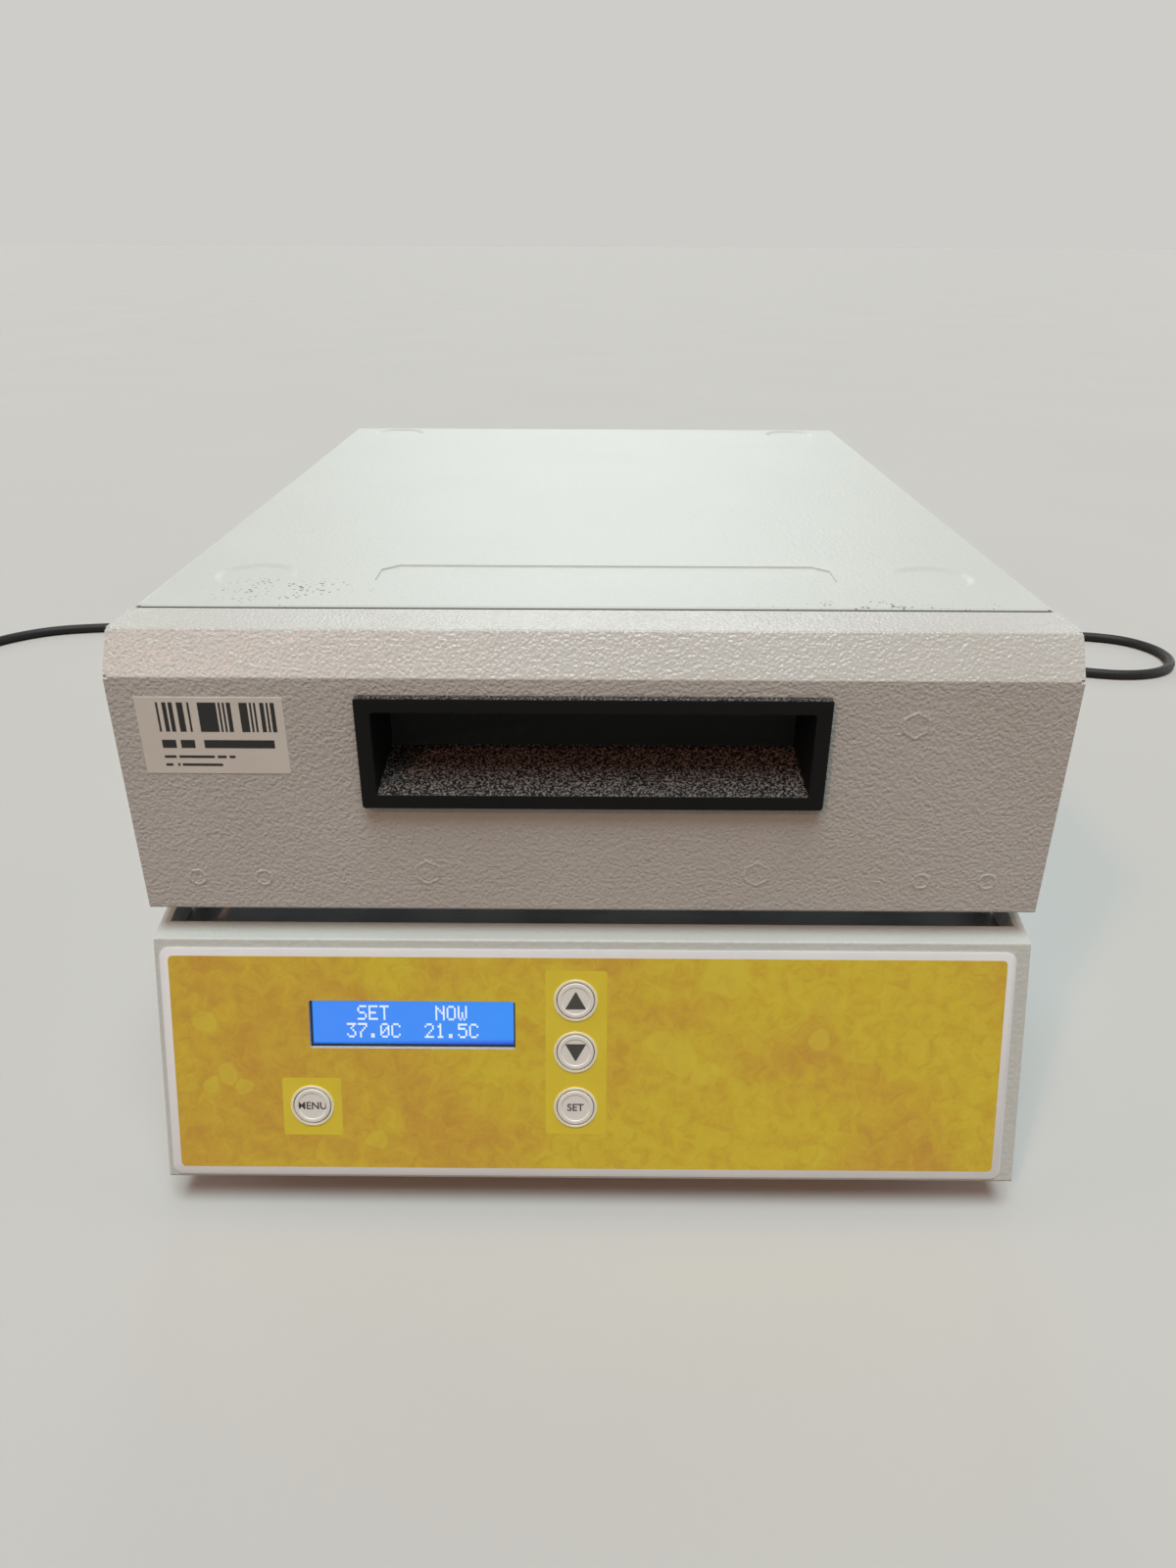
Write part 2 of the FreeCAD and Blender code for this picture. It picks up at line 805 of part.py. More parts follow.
def bevelled(body, size, *tests):
    """Chamfer the edges of a body that pass any of the tests."""
    doc.recompute()
    tip = body.Tip
    feature = body.newObject("PartDesign::Chamfer", "Chamfer")
    feature.Base = (tip, [f"Edge{number}" for number in edge_numbers(tip.Shape, tests)])
    return bind(feature, Size=size)


def both_sides(text):
    """Give a place on the right and its mirror on the left."""
    return (text, f"-({text})")


def foot_places():
    """List the four places where the feet stand, which the dimples in the top share."""
    rows = ("face_y + foot_front_y", "back_y - foot_rear_inset")
    return [(x, y) for x in both_sides("foot_x") for y in rows]


WHOLE = ("-half_width - overrun", "half_width + overrun")
INNER = ("-inner_half", "inner_half")
BETWEEN_WALLS = ("-inner_half + fit_gap", "inner_half - fit_gap")


# Case


def make_front_casing():
    """Leaning control panel with its cheeks, bottom lip, sloping cap and the cap's return."""
    body = new_body("FrontCasing")
    outer = [
        ("front_y", "base_z"),
        ("panel_top_y", "panel_top_z"),
        ("cheek_back_y", "panel_top_z + cap_rise"),
        ("cheek_back_y", "base_z"),
    ]
    pad(body, outline(body, "YZ_Plane", outer), "case_width")
    bottom = along("x", y=value("front_y"), z=value("base_z"))
    top = along("x", y=value("panel_top_y"), z=value("panel_top_z"))
    rounded(body, "edge_radius", bottom, top)

    def under_cap(y):
        return (y, f"panel_top_z + cap_slope * (({y}) - panel_top_y) - cap_inset")

    corner_z = "panel_top_z + cap_slope * cap_corner_run - cap_inset"
    inner = [
        ("front_y + face_inset + panel_tan * sheet", "floor_z"),
        ("panel_top_y + cap_corner_run", corner_z),
        under_cap("return_front_y"),
        ("return_front_y", "return_low_z"),
        ("return_back_y", "return_low_z"),
        under_cap("return_back_y"),
        under_cap("cheek_back_y + overrun"),
        ("cheek_back_y + overrun", "base_z - overrun"),
        ("lip_back_y", "base_z - overrun"),
        ("lip_back_y", "floor_z"),
    ]
    pocket(body, outline(body, "YZ_Plane", inner), "2 * inner_half")
    opening = ("-half_width + cap_border", "half_width - cap_border")
    rise = ("return_low_z", "panel_top_z + cap_rise + overrun")
    block(body, "Subtractive", opening, ("return_back_y", "cheek_back_y + overrun"), rise)
    window = slab(span("display_x", "view_width"), span("display_rise", "view_height"), through_panel())
    holes = [rod("z", "key_radius + key_gap", spot, through_panel()) for spot in key_spots().values()]
    keep("front_casing", without(body, leaning(joined(window, *holes))))


def through_panel():
    """Give the ends of a cut that passes right through the leaning panel's sheet."""
    return ("-sheet - overrun", "overrun")


def key_spots():
    """Give each key's name and its place on the leaning panel."""
    return {
        "up_key": ("key_right_x", "key_up_rise"),
        "down_key": ("key_right_x", "key_down_rise"),
        "set_key": ("key_right_x", "key_low_rise"),
        "menu_key": ("key_left_x", "key_low_rise"),
    }


def make_lower_pan():
    """Tray that carries the electronics, with side walls that hold the deck up."""
    body = new_body("LowerPan")
    depth = ("lip_back_y", "rear_stop_y")
    block(body, "Additive", INNER, depth, ("base_z", "floor_z"))
    wall_depth = ("frame_y", "rear_stop_y")
    for side in (("-inner_half", "-inner_half + sheet"), ("inner_half - sheet", "inner_half")):
        block(body, "Additive", side, wall_depth, ("base_z", "deck_z"))
    clear = "half_width - front_flange - fit_gap"
    notch_y = ("wrap_y - fit_gap", "frame_y")
    for side in ((f"-({clear}) - overrun", f"-({clear})"), (clear, f"{clear} + overrun")):
        block(body, "Subtractive", side, notch_y, ("base_z - overrun", "floor_z + overrun"))
    tongue = ("-inner_half + tongue_inset", "inner_half - tongue_inset")
    reach = ("lip_back_y - tongue_overlap", "lip_back_y + tongue_overlap")
    block(body, "Additive", tongue, reach, ("floor_z", "floor_z + sheet"))
    rear = ("-half_width + rear_flange + fit_gap", "half_width - rear_flange - fit_gap")
    block(body, "Additive", rear, ("rear_stop_y", "rear_y"), ("base_z", "base_z + rear_flange"))
    for spot in foot_places():
        ends = ("base_z - overrun", "floor_z + overrun")
        barrel(body, "Subtractive", "z", "foot_screw_radius + screw_play", spot, ends)
    for spot in cover_screw_spots():
        barrel(body, "Subtractive", "x", "cover_screw_radius", spot, WHOLE)
    keep("lower_pan", body)


def cover_screw_spots():
    """List the places of the screws that hold the wrapper to the pan, seen from the side."""
    last = int(value("cover_screw_count")) - 1
    front = "frame_y + cover_screw_front"
    reach = "(back_y - cover_screw_rear - frame_y - cover_screw_front)"
    height = "base_z + cover_screw_height"
    return [(f"{front} + {row} * {reach} / {last}", height) for row in range(last + 1)]


def make_cabinet_wrapper():
    """Bent top and sides with turned-in flanges, stacking dimples and one long rib."""
    body = new_body("CabinetWrapper")
    block(body, "Additive", ("-half_width", "half_width"), ("wrap_y", "back_y"), ("base_z", "top_z"))
    edges = [along("y", x=side * value("half_width"), z=value("top_z")) for side in (-1, 1)]
    edges.append(along("x", y=value("wrap_y"), z=value("top_z")))
    edges += [along("z", x=side * value("half_width"), y=value("wrap_y")) for side in (-1, 1)]
    rounded(body, "bend_radius", *edges)
    low = "base_z - overrun"
    block(body, "Subtractive", INNER, ("frame_y", "rear_stop_y"), (low, "top_z - sheet"))
    front = ("-half_width + front_flange", "half_width - front_flange")
    block(body, "Subtractive", front, ("wrap_y - overrun", "frame_y"), (low, "top_z - front_flange"))
    rear = ("-half_width + rear_flange", "half_width - rear_flange")
    block(body, "Subtractive", rear, ("rear_stop_y", "rear_y"), (low, "top_z - rear_flange"))
    block(body, "Subtractive", INNER, ("rear_y", "back_y + overrun"), (low, "top_z - sheet"))
    for x, y in foot_places():
        stamp_round(body, (x, y))
    stamp_rib(body)
    for x in both_sides("half_width - sheet"):
        ends = ("wrap_y - overrun", "frame_y")
        barrel(body, "Subtractive", "y", "relief_radius", (x, "top_z - sheet"), ends)
    for spot in rear_screw_spots():
        ends = ("rear_stop_y - overrun", "rear_y + overrun")
        barrel(body, "Subtractive", "y", "screw_radius", spot, ends)
    head = "cover_head_radius"
    for spot in cover_screw_spots():
        barrel(body, "Subtractive", "x", "cover_screw_radius", spot, WHOLE)
        ends = ("half_width - cover_head", "half_width")
        cone(body, "Subtractive", "x", ("cover_screw_radius", head), spot, ends)
        ends = ("-half_width", "-half_width + cover_head")
        cone(body, "Subtractive", "x", (head, "cover_screw_radius"), spot, ends)
    keep("cabinet_wrapper", body)


def stamp_round(body, spot):
    """Press one round dimple into the top, with its matching swell underneath."""
    under = ("top_z - sheet - dimple_depth", "top_z - sheet")
    cone(body, "Additive", "z", ("dimple_floor_radius + sheet", "dimple_radius + sheet"), spot, under)
    pressed = ("top_z - dimple_depth", "top_z")
    cone(body, "Subtractive", "z", ("dimple_floor_radius", "dimple_radius"), spot, pressed)


def stamp_rib(body):
    """Press the long rib with slanted ends into the top, with its swell underneath."""
    swell = rib_points("sheet")
    sunk = rib_points("0")
    add = body.newObject("PartDesign::Pad", "Swell")
    add.Profile = outline(body, "XY_Plane", swell, "top_z - sheet")
    add.Reversed = True
    bind(add, Length="rib_depth")
    take = body.newObject("PartDesign::Pocket", "Rib")
    take.Profile = outline(body, "XY_Plane", sunk, "top_z")
    bind(take, Length="rib_depth")


def rib_points(grow):
    """List the rib's corners: a long strip whose front corners are cut off."""
    left = f"rib_x - rib_length / 2 - {grow}"
    right = f"rib_x + rib_length / 2 + {grow}"
    front = f"face_y + rib_y - rib_width / 2 - {grow}"
    back = f"face_y + rib_y + rib_width / 2 + {grow}"
    return [
        (left, front),
        (right, front),
        (right, f"{back} - rib_slant"),
        (f"{right} - rib_slant", back),
        (f"{left} + rib_slant", back),
        (left, f"{back} - rib_slant"),
    ]


def make_rear_panel():
    """Recessed back with the vents and the cut-outs for inlet, switch and probe lead."""
    panel = slab(BETWEEN_WALLS, ("rear_y", "rear_face_y"), ("base_z", "wool_roof_z"))
    through = ("rear_y - overrun", "rear_face_y + overrun")
    cuts = [slab(span("inlet_x", "inlet_body_width"), through, inlet_body_z())]
    cuts.append(slab(span("switch_x", "switch_body_width"), through, span("switch_z", "switch_body_tall")))
    for i in range(int(value("vent_count"))):
        centre = f"vent_x + ({i} - (vent_count - 1) / 2) * vent_pitch"
        cuts.append(slab(span(centre, "vent_width"), through, span("vent_z", "vent_height")))
    cuts += [rod("y", "screw_radius", spot, through) for spot in rear_screw_spots()]
    keep("rear_panel", without(panel, *cuts))


def inlet_body_z():
    """Give the low and high ends of the inlet's body behind its flange."""
    return ("inlet_low_z + inlet_body_margin", "inlet_high_z - inlet_body_margin")


def rear_screw_spots():
    """List the places of the screws that hold the rear panel to the wrapper's flanges."""
    sides = both_sides("half_width - rear_screw_inset")
    heights = ("base_z + rear_screw_low", "top_z - rear_screw_drop")
    spots = [(x, z) for x in sides for z in heights]
    return spots + [(x, "top_z - rear_screw_inset") for x in both_sides("rear_screw_x")]


def make_front_frame():
    """Upright front of the cabinet: chamber opening, hinge slots, catch holes and a wiring window."""
    depth = ("frame_y", "frame_back_y")
    plate = slab(("-frame_half", "frame_half"), depth, ("floor_z", "top_z - sheet - fit_gap"))
    through = ("frame_y - overrun", "frame_back_y + overrun")
    cuts = [slab(("-cavity_half", "cavity_half"), through, ("cavity_low_z", "cavity_high_z"))]
    wiring_z = ("floor_z + wiring_sill", "trough_z - wiring_drop")
    cuts.append(slab(("-half_width + wiring_side", "half_width - wiring_side"), through, wiring_z))
    for x in both_sides("hinge_x"):
        cuts.append(slab(span(x, "arm_thickness"), through, span("axis_z", "2 * arm_half_height")))
    for x in both_sides("catch_x"):
        cuts.append(slab(span(x, "catch_width"), through, span("catch_z", "catch_height")))
    keep("front_frame", without(plate, *cuts))


def make_trough_pan():
    """Shallow tray under the door, lapped on the cap's return and on the front frame."""
    clear = ("-half_width + front_flange + fit_gap", "half_width - front_flange - fit_gap")
    level = ("trough_z", "return_low_z")
    front = slab(BETWEEN_WALLS, ("return_front_y - trough_sheet", "cheek_back_y"), level)
    back = slab(clear, ("cheek_back_y", "frame_y"), level)
    lip = slab(clear, ("frame_y - trough_sheet", "frame_y"), ("return_low_z", "return_low_z + trough_lip"))
    lap_y = ("return_front_y - trough_sheet", "return_front_y")
    lap = slab(BETWEEN_WALLS, lap_y, ("return_low_z", "return_low_z + trough_lap"))
    keep("trough_pan", joined(front, back, lip, lap))


def make_deck_plate():
    """Level plate that carries the chamber above the electronics."""
    plate = slab(BETWEEN_WALLS, ("frame_back_y", "rear_stop_y"), ("deck_z", "deck_top_z"))
    keep("deck_plate", plate)


def make_feet():
    """Rubber feet with a well for the screw."""
    feet = []
    screws = []
    for spot in foot_places():
        cone_part = taper("z", "foot_radius", "foot_top_radius", spot, ("0", "base_z"))
        well = rod("z", "foot_well_radius", spot, ("-overrun", "foot_well_depth"))
        hole = rod("z", "foot_screw_radius", spot, ("0", "base_z + overrun"))
        feet.append(without(cone_part, well, hole))
        shank_ends = ("foot_well_depth", "foot_well_depth + foot_screw_length")
        shank = rod("z", "foot_screw_radius", spot, shank_ends)
        head_ends = ("foot_well_depth - foot_screw_head", "foot_well_depth")
        head = rod("z", "foot_screw_head_radius", spot, head_ends)
        screws.append(joined(shank, head))
    keep("feet", grouped(*feet))
    keep("foot_screws", grouped(*screws))


def make_case_screws():
    """Countersunk screws through the wrapper's sides, and round-headed ones in the rear panel."""
    cover = []
    for spot in cover_screw_spots():
        for sign in ("", "-"):
            tip = ("half_width - cover_screw_length", "half_width")
            head = ("half_width - cover_head", "half_width")
            radii = ("cover_screw_radius", "cover_head_radius")
            if sign:
                tip = ("-half_width", "-half_width + cover_screw_length")
                head = ("-half_width", "-half_width + cover_head")
                radii = ("cover_head_radius", "cover_screw_radius")
            shank = rod("x", "cover_screw_radius", spot, tip)
            cover.append(joined(shank, taper("x", radii[0], radii[1], spot, head)))
    keep("cover_screws", grouped(*cover))
    rear = [round_screw(spot, "rear_face_y") for spot in rear_screw_spots()]
    keep("rear_screws", grouped(*rear))


def flush_screw(spot, face):
    """Make one countersunk screw that goes forwards from a face, its head level with that face."""
    shank = rod("y", "screw_radius", spot, (f"{face} - screw_length", face))
    head_ends = (f"{face} - cover_head", face)
    return joined(shank, taper("y", "screw_radius", "cover_head_radius", spot, head_ends))


def round_screw(spot, face):
    """Make one round-headed screw that goes forwards from a face, its head behind it."""
    shank = rod("y", "screw_radius", spot, (f"{face} - screw_length", face))
    head = taper("y", "screw_head_radius", "screw_crown_radius", spot, (face, f"{face} + screw_head"))
    return joined(shank, head)


# Chamber


def make_chamber_liner():
    """Five-sided metal box, open to the front, with a narrow flange behind the frame."""
    body = new_body("ChamberLiner")
    sides = ("-liner_half", "liner_half")
    block(body, "Additive", sides, ("frame_back_y", "liner_back_y"), ("liner_low_z", "liner_high_z"))
    brim = ("-cavity_half - liner_flange", "cavity_half + liner_flange")
    brim_z = ("cavity_low_z - liner_flange", "cavity_high_z + liner_flange")
    block(body, "Additive", brim, ("frame_back_y", "frame_back_y + liner_sheet"), brim_z)
    hollow = ("cavity_low_z", "cavity_high_z")
    depth = ("frame_back_y - overrun", "cavity_back_y")
    block(body, "Subtractive", ("-cavity_half", "cavity_half"), depth, hollow)
    through = ("cavity_back_y - overrun", "liner_back_y + overrun")
    barrel(body, "Subtractive", "y", "probe_radius", probe_spot(), through)
    keep("chamber_liner", body)


def probe_spot():
    """Give the place where the temperature probe passes the chamber's back."""
    return ("probe_x", "(cavity_low_z + cavity_high_z) / 2")


def make_tray_rails():
    """Two levels of angled rails on each side wall, for slide trays."""
    depth = ("frame_back_y + rail_front", "cavity_back_y")
    rails = []
    for level in range(2):
        top = f"cavity_low_z + cavity_height * (rail_low_share + {level} * rail_step_share)"
        for sign in ("", "-"):
            shelf_x = ("cavity_half - rail_reach", "cavity_half")
            web_x = ("cavity_half - rail_sheet", "cavity_half")
            if sign:
                shelf_x = ("-cavity_half", "-cavity_half + rail_reach")
                web_x = ("-cavity_half", "-cavity_half + rail_sheet")
            shelf = slab(shelf_x, depth, (f"{top} - rail_sheet", top))
            web = slab(web_x, depth, (f"{top} - cavity_height * rail_drop_share", top))
            rails.append(joined(shelf, web))
    keep("tray_rails", grouped(*rails))


def make_heaters_and_wool():
    """Heater mats on the liner's floor and roof, and the insulation around it."""
    across = ("-liner_half + heater_side", "liner_half - heater_side")
    depth = ("frame_back_y + heater_end", "liner_back_y - heater_end")
    lower = slab(across, depth, ("liner_low_z - heater_thickness", "liner_low_z"))
    upper = slab(across, depth, ("liner_high_z", "liner_high_z + heater_thickness"))
    keep("heater_mats", grouped(lower, upper))
    wide = ("-liner_half", "liner_half")
    front = "frame_back_y + arm_foot_length + sheet"
    under = ("deck_top_z", "liner_low_z - heater_thickness")
    keep("bottom_insulation", slab(wide, (front, "liner_back_y"), under))
    over = ("liner_high_z + heater_thickness", "wool_roof_z")
    keep("top_insulation", slab(wide, ("wool_front_y", "liner_back_y"), over))
    flank = ("deck_top_z", "wool_roof_z")
    right = slab(("liner_half", "inner_half - fit_gap"), ("wool_front_y", "liner_back_y"), flank)
    left = slab(("-inner_half + fit_gap", "-liner_half"), ("wool_front_y", "liner_back_y"), flank)
    keep("side_insulation", grouped(left, right))
    back = slab(wide, ("liner_back_y", "rear_stop_y"), ("deck_top_z", "liner_high_z"))
    holes = [rod("y", "probe_collar_radius", probe_spot(), ("liner_back_y - overrun", "rear_y + overrun"))]
    holes.append(rod("y", "cutout_radius", cutout_spot(), ("liner_back_y - overrun", "rear_y + overrun")))
    keep("back_insulation", without(back, *holes))


def cutout_spot():
    """Give the place of the thermal cut-out on the chamber's back."""
    return ("-probe_x", "(cavity_low_z + cavity_high_z) / 2")


def make_probe_and_cutout():
    """Temperature probe through the chamber's back, and the thermal cut-out pressed on it."""
    spot = probe_spot()
    stem = rod("y", "probe_radius", spot, ("cavity_back_y - probe_reach", "liner_back_y + probe_tail"))
    collar = rod("y", "probe_collar_radius", spot, ("liner_back_y", "liner_back_y + probe_collar"))
    keep("temperature_probe", joined(stem, collar))
    can = rod("y", "cutout_radius", cutout_spot(), ("liner_back_y", "liner_back_y + cutout_depth"))
    x, z = cutout_spot()
    tab_y = ("liner_back_y + cutout_depth", "liner_back_y + cutout_depth + cutout_tab")
    tabs = []
    for side in (-1, 1):
        tab_x = span(f"{x} + {side} * cutout_tab_spread / 2", "rail_sheet")
        tabs.append(slab(tab_x, tab_y, span(z, "cutout_tab")))
    keep("thermal_cutout", joined(can, *tabs))


def make_door_gasket():
    """Square silicone ring on the frame, just clear of the shut door."""
    outer = "gasket_half + gasket_width"
    outer_z = ("gasket_low_z - gasket_width", "gasket_high_z + gasket_width")
    ring = slab((f"-({outer})", outer), ("gasket_front_y", "frame_y"), outer_z)
    through = ("gasket_front_y - overrun", "frame_y + overrun")
    hole = slab(("-gasket_half", "gasket_half"), through, ("gasket_low_z", "gasket_high_z"))
    keep("door_gasket", without(ring, hole))


# Hinge and catches


def make_hinges():
    """Fixed arms and pins on the cabinet, and the leaves that hang the door on them."""
    arms = []
    pins = []
    leaves = []
    for x in both_sides("hinge_x"):
        eye = rod("x", "arm_eye_radius", ("axis_y", "axis_z"), span(x, "arm_thickness"))
        bar_end = "frame_back_y + arm_foot_length"
        bar = slab(span(x, "arm_thickness"), ("axis_y", bar_end), span("axis_z", "2 * arm_half_height"))
        web = slab(span(x, "arm_thickness"), ("frame_back_y", bar_end), ("deck_top_z", "axis_z"))
        foot_z = ("deck_top_z", "deck_top_z + arm_foot_sheet")
        foot = slab(span(x, "arm_foot_width"), ("frame_back_y", bar_end), foot_z)
        bore = rod("x", "pin_radius", ("axis_y", "axis_z"), span(x, "arm_foot_width"))
        arms.append(without(joined(eye, bar, web, foot), bore))
        pin_ends = span(x, "arm_thickness + 2 * ear_gap + 2 * ear_thickness + 2 * sheet")
        pins.append(rod("x", "pin_radius", ("axis_y", "axis_z"), pin_ends))
        leaves.append(hinge_leaf(x))
    keep("hinge_arms", grouped(*arms))
    keep("hinge_pins", grouped(*pins))
    keep("hinge_leaves", grouped(*leaves))


def hinge_leaf(x):
    """Make one leaf: a plate behind the door's skin with two ears for the pin."""
    low = "door_low_z + leaf_above_edge"
    plate = slab(span(x, "leaf_width"), ("skin_y", "skin_y + leaf_sheet"), (low, f"{low} + leaf_height"))
    pieces = [plate]
    for side in (-1, 1):
        middle = f"{x} + {side} * (arm_thickness / 2 + ear_gap + ear_thickness / 2)"
        reach = span(middle, "ear_thickness")
        pieces.append(slab(reach, ("skin_y", "axis_y"), span("axis_z", "2 * arm_eye_radius")))
        pieces.append(rod("x", "arm_eye_radius", ("axis_y", "axis_z"), reach))
    cuts = [rod("x", "pin_radius + pin_play", ("axis_y", "axis_z"), span(x, "leaf_width"))]
    for spot in stud_spots(x):
        cuts.append(rod("y", "stud_radius", spot, ("skin_y - overrun", "skin_y + overrun")))
    return without(joined(*pieces), *cuts)


def stud_spots(x):
    """Give the two places of one leaf's studs."""
    height = "door_low_z + stud_above_edge"
    return [(f"{x} - stud_spread / 2", height), (f"{x} + stud_spread / 2", height)]


def make_hinge_studs():
    """Weld studs behind the door's skin, each with its nut on the leaf."""
    pieces = []
    for x in both_sides("hinge_x"):
        for spot in stud_spots(x):
            stud = rod("y", "stud_radius", spot, ("skin_y", "skin_y + stud_length"))
            seat = "skin_y + leaf_sheet"
            nut = hexagon("y", "nut_radius", spot, (seat, f"{seat} + nut_height"))
            bore = rod("y", "stud_radius", spot, (f"{seat} - overrun", f"{seat} + overrun"))
            pieces += [stud, without(nut, bore)]
    keep("hinge_studs", grouped(*pieces))


def make_catches():
    """Magnets in the frame and the strike plates that they pull on."""
    magnets = []
    strikes = []
    for x in both_sides("catch_x"):
        depth = ("wrap_y - catch_proud", "frame_back_y + catch_tail")
        magnets.append(slab(span(x, "catch_width"), depth, span("catch_z", "catch_height")))
        plate = ("door_back_y", "door_back_y + strike_sheet")
        strikes.append(slab(span(x, "strike_width"), plate, span("catch_z", "strike_height")))
    keep("magnet_catches", grouped(*magnets))
    keep("strike_plates", grouped(*strikes))


# Door


def make_door_shell():
    """Folded front skin, open to the back, with a bevelled top edge and corner reliefs."""
    body = new_body("DoorShell")
    outer = [
        ("face_y", "door_low_z"),
        ("door_back_y", "door_low_z"),
        ("door_back_y", "top_z"),
        ("bevel_back_y", "top_z"),
        ("face_y", "bevel_low_z"),
    ]
    pad(body, outline(body, "YZ_Plane", outer), "case_width")
    bends = [
        along("x", y=value("face_y"), z=value("door_low_z")),
        along("x", y=value("bevel_back_y"), z=value("top_z")),
        along("x", y=value("face_y"), z=value("bevel_low_z")),
    ]
    rounded(body, "edge_radius", *bends)
    lower = "bevel_low_z - sheet * tan(bevel_turn / 2)"
    upper = "bevel_back_y + sheet * tan((90 - bevel_turn) / 2)"
    inner = [
        ("skin_y", "door_low_z + sheet"),
        ("door_back_y + overrun", "door_low_z + sheet"),
        ("door_back_y + overrun", "top_z - sheet"),
        (upper, "top_z - sheet"),
        ("skin_y", lower),
    ]
    pocket(body, outline(body, "YZ_Plane", inner), "2 * inner_half")
    front = ("face_y - overrun", "skin_y + overrun")
    block(body, "Subtractive", window_x(), front, window_z())
    for x in both_sides("hinge_x"):
        slot_y = ("axis_y - arm_eye_radius - slot_clearance / 2", "door_back_y + overrun")
        slot_z = ("door_low_z - overrun", "door_low_z + sheet + overrun")
        block(body, "Subtractive", span(x, "arm_thickness + 2 * slot_clearance"), slot_y, slot_z)
    for x in both_sides("half_width"):
        for spot in (("face_y", "bevel_low_z"), ("bevel_back_y", "top_z")):
            barrel(body, "Subtractive", "x", "relief_radius / 2", spot, span(x, "2 * sheet"))
    keep("door_shell", body)


def window_x():
    """Give the ends across of the hole for the handle's cup."""
    reach = "mouth_half + cup_wall + window_play"
    return (f"-({reach})", reach)


def window_z():
    """Give the low and high ends of the hole for the handle's cup."""
    return ("mouth_low_z - cup_wall - window_play", "cup_top_z + cup_wall + window_play")


def standoff_spots():
    """List the places where the door's inner panel is screwed on."""
    upper = [(x, "top_z - standoff_upper_drop") for x in both_sides("standoff_upper_x")]
    return upper + [(x, "standoff_lower_z") for x in both_sides("standoff_lower_x")]


def make_door_inside():
    """Inner panel, its standoffs and screws, and the insulation between the two skins."""
    panel_x = ("-inner_panel_half", "inner_panel_half")
    panel_z = ("inner_panel_low_z", "inner_panel_high_z")
    panel = slab(panel_x, ("inner_panel_y", "door_back_y"), panel_z)
    through = ("inner_panel_y - overrun", "door_back_y + overrun")
    cuts = []
    for x in both_sides("hinge_x"):
        slot_z = ("door_low_z", "axis_z + arm_half_height + slot_clearance")
        cuts.append(slab(span(x, "arm_thickness + 2 * slot_clearance"), through, slot_z))
    for spot in standoff_spots():
        cuts.append(rod("y", "screw_radius", spot, through))
        head_ends = ("door_back_y - cover_head", "door_back_y")
        cuts.append(taper("y", "screw_radius", "cover_head_radius", spot, head_ends))
    keep("door_inner_panel", without(panel, *cuts))
    posts = []
    for spot in standoff_spots():
        post = hexagon("y", "standoff_radius", spot, ("skin_y", "inner_panel_y"))
        bore = rod("y", "screw_radius", spot, ("door_back_y - screw_length", "door_back_y"))
        posts.append(without(post, bore))
    keep("door_standoffs", grouped(*posts))
    keep("door_screws", grouped(*[flush_screw(spot, "door_back_y") for spot in standoff_spots()]))
    wool_x = ("-half_width + door_wool_side", "half_width - door_wool_side")
    wool = slab(wool_x, ("skin_y", "inner_panel_y"), ("wool_low_z", "wool_high_z"))
    reach = "(mouth_half + cup_wall + clip_width + window_play)"
    holes = [slab((f"-{reach}", reach), ("skin_y - overrun", "door_back_y"), window_z())]
    for spot in standoff_spots():
        holes.append(rod("y", "standoff_radius", spot, ("skin_y - overrun", "door_back_y")))
    keep("door_insulation", without(wool, *holes))


def make_handle():
    """Moulded cup with its bezel, and the clips that hold it behind the skin."""
    body = new_body("HandleCup")
    wide = span("0", "handle_width")
    tall = span("handle_z", "handle_height")
    block(body, "Additive", wide, ("bezel_y", "face_y"), tall)
    edges = [along("x", y=value("bezel_y")), along("z", y=value("bezel_y"))]
    bevelled(body, "bezel_chamfer", *edges)
    near_x = ("-mouth_half - cup_wall", "mouth_half + cup_wall")
    far_x = ("-mouth_half - cup_wall + cup_draft", "mouth_half + cup_wall - cup_draft")
    near_z = ("mouth_low_z - cup_wall", "cup_top_z + cup_wall")
    far_z = ("mouth_low_z - cup_wall + cup_floor_rise", "cup_top_z + cup_wall")
    shell = wedge(near_x, ("face_y", "cup_back_y + cup_wall"), near_z, far_x, far_z)
    mouth_x = ("-mouth_half", "mouth_half")
    mouth = slab(mouth_x, ("bezel_y - overrun", "face_y"), ("mouth_low_z", "mouth_high_z"))
    back_x = ("-mouth_half + cup_draft", "mouth_half - cup_draft")
    back_z = ("mouth_low_z + cup_floor_rise", "cup_top_z")
    front_z = ("mouth_low_z", "cup_top_z")
    hollow = wedge(mouth_x, ("face_y", "cup_back_y"), front_z, back_x, back_z)
    keep("handle_cup", without(joined(body, shell), mouth, hollow))
    clips = []
    for sign in ("", "-"):
        inner = "mouth_half + cup_wall + window_play"
        x = (inner, f"{inner} + clip_width")
        if sign:
            x = (f"-({inner}) - clip_width", f"-({inner})")
        clips.append(slab(x, ("skin_y", "skin_y + clip_depth"), span("handle_z", "clip_height")))
    keep("handle_clips", grouped(*clips))


def make_label():
    """Thin white label on the door, with nothing printed on it."""
    x = span("-label_x", "label_width")
    z = span("top_z - label_drop", "label_height")
    keep("blank_label", slab(x, ("face_y - label_thickness", "face_y"), z))


# Control panel


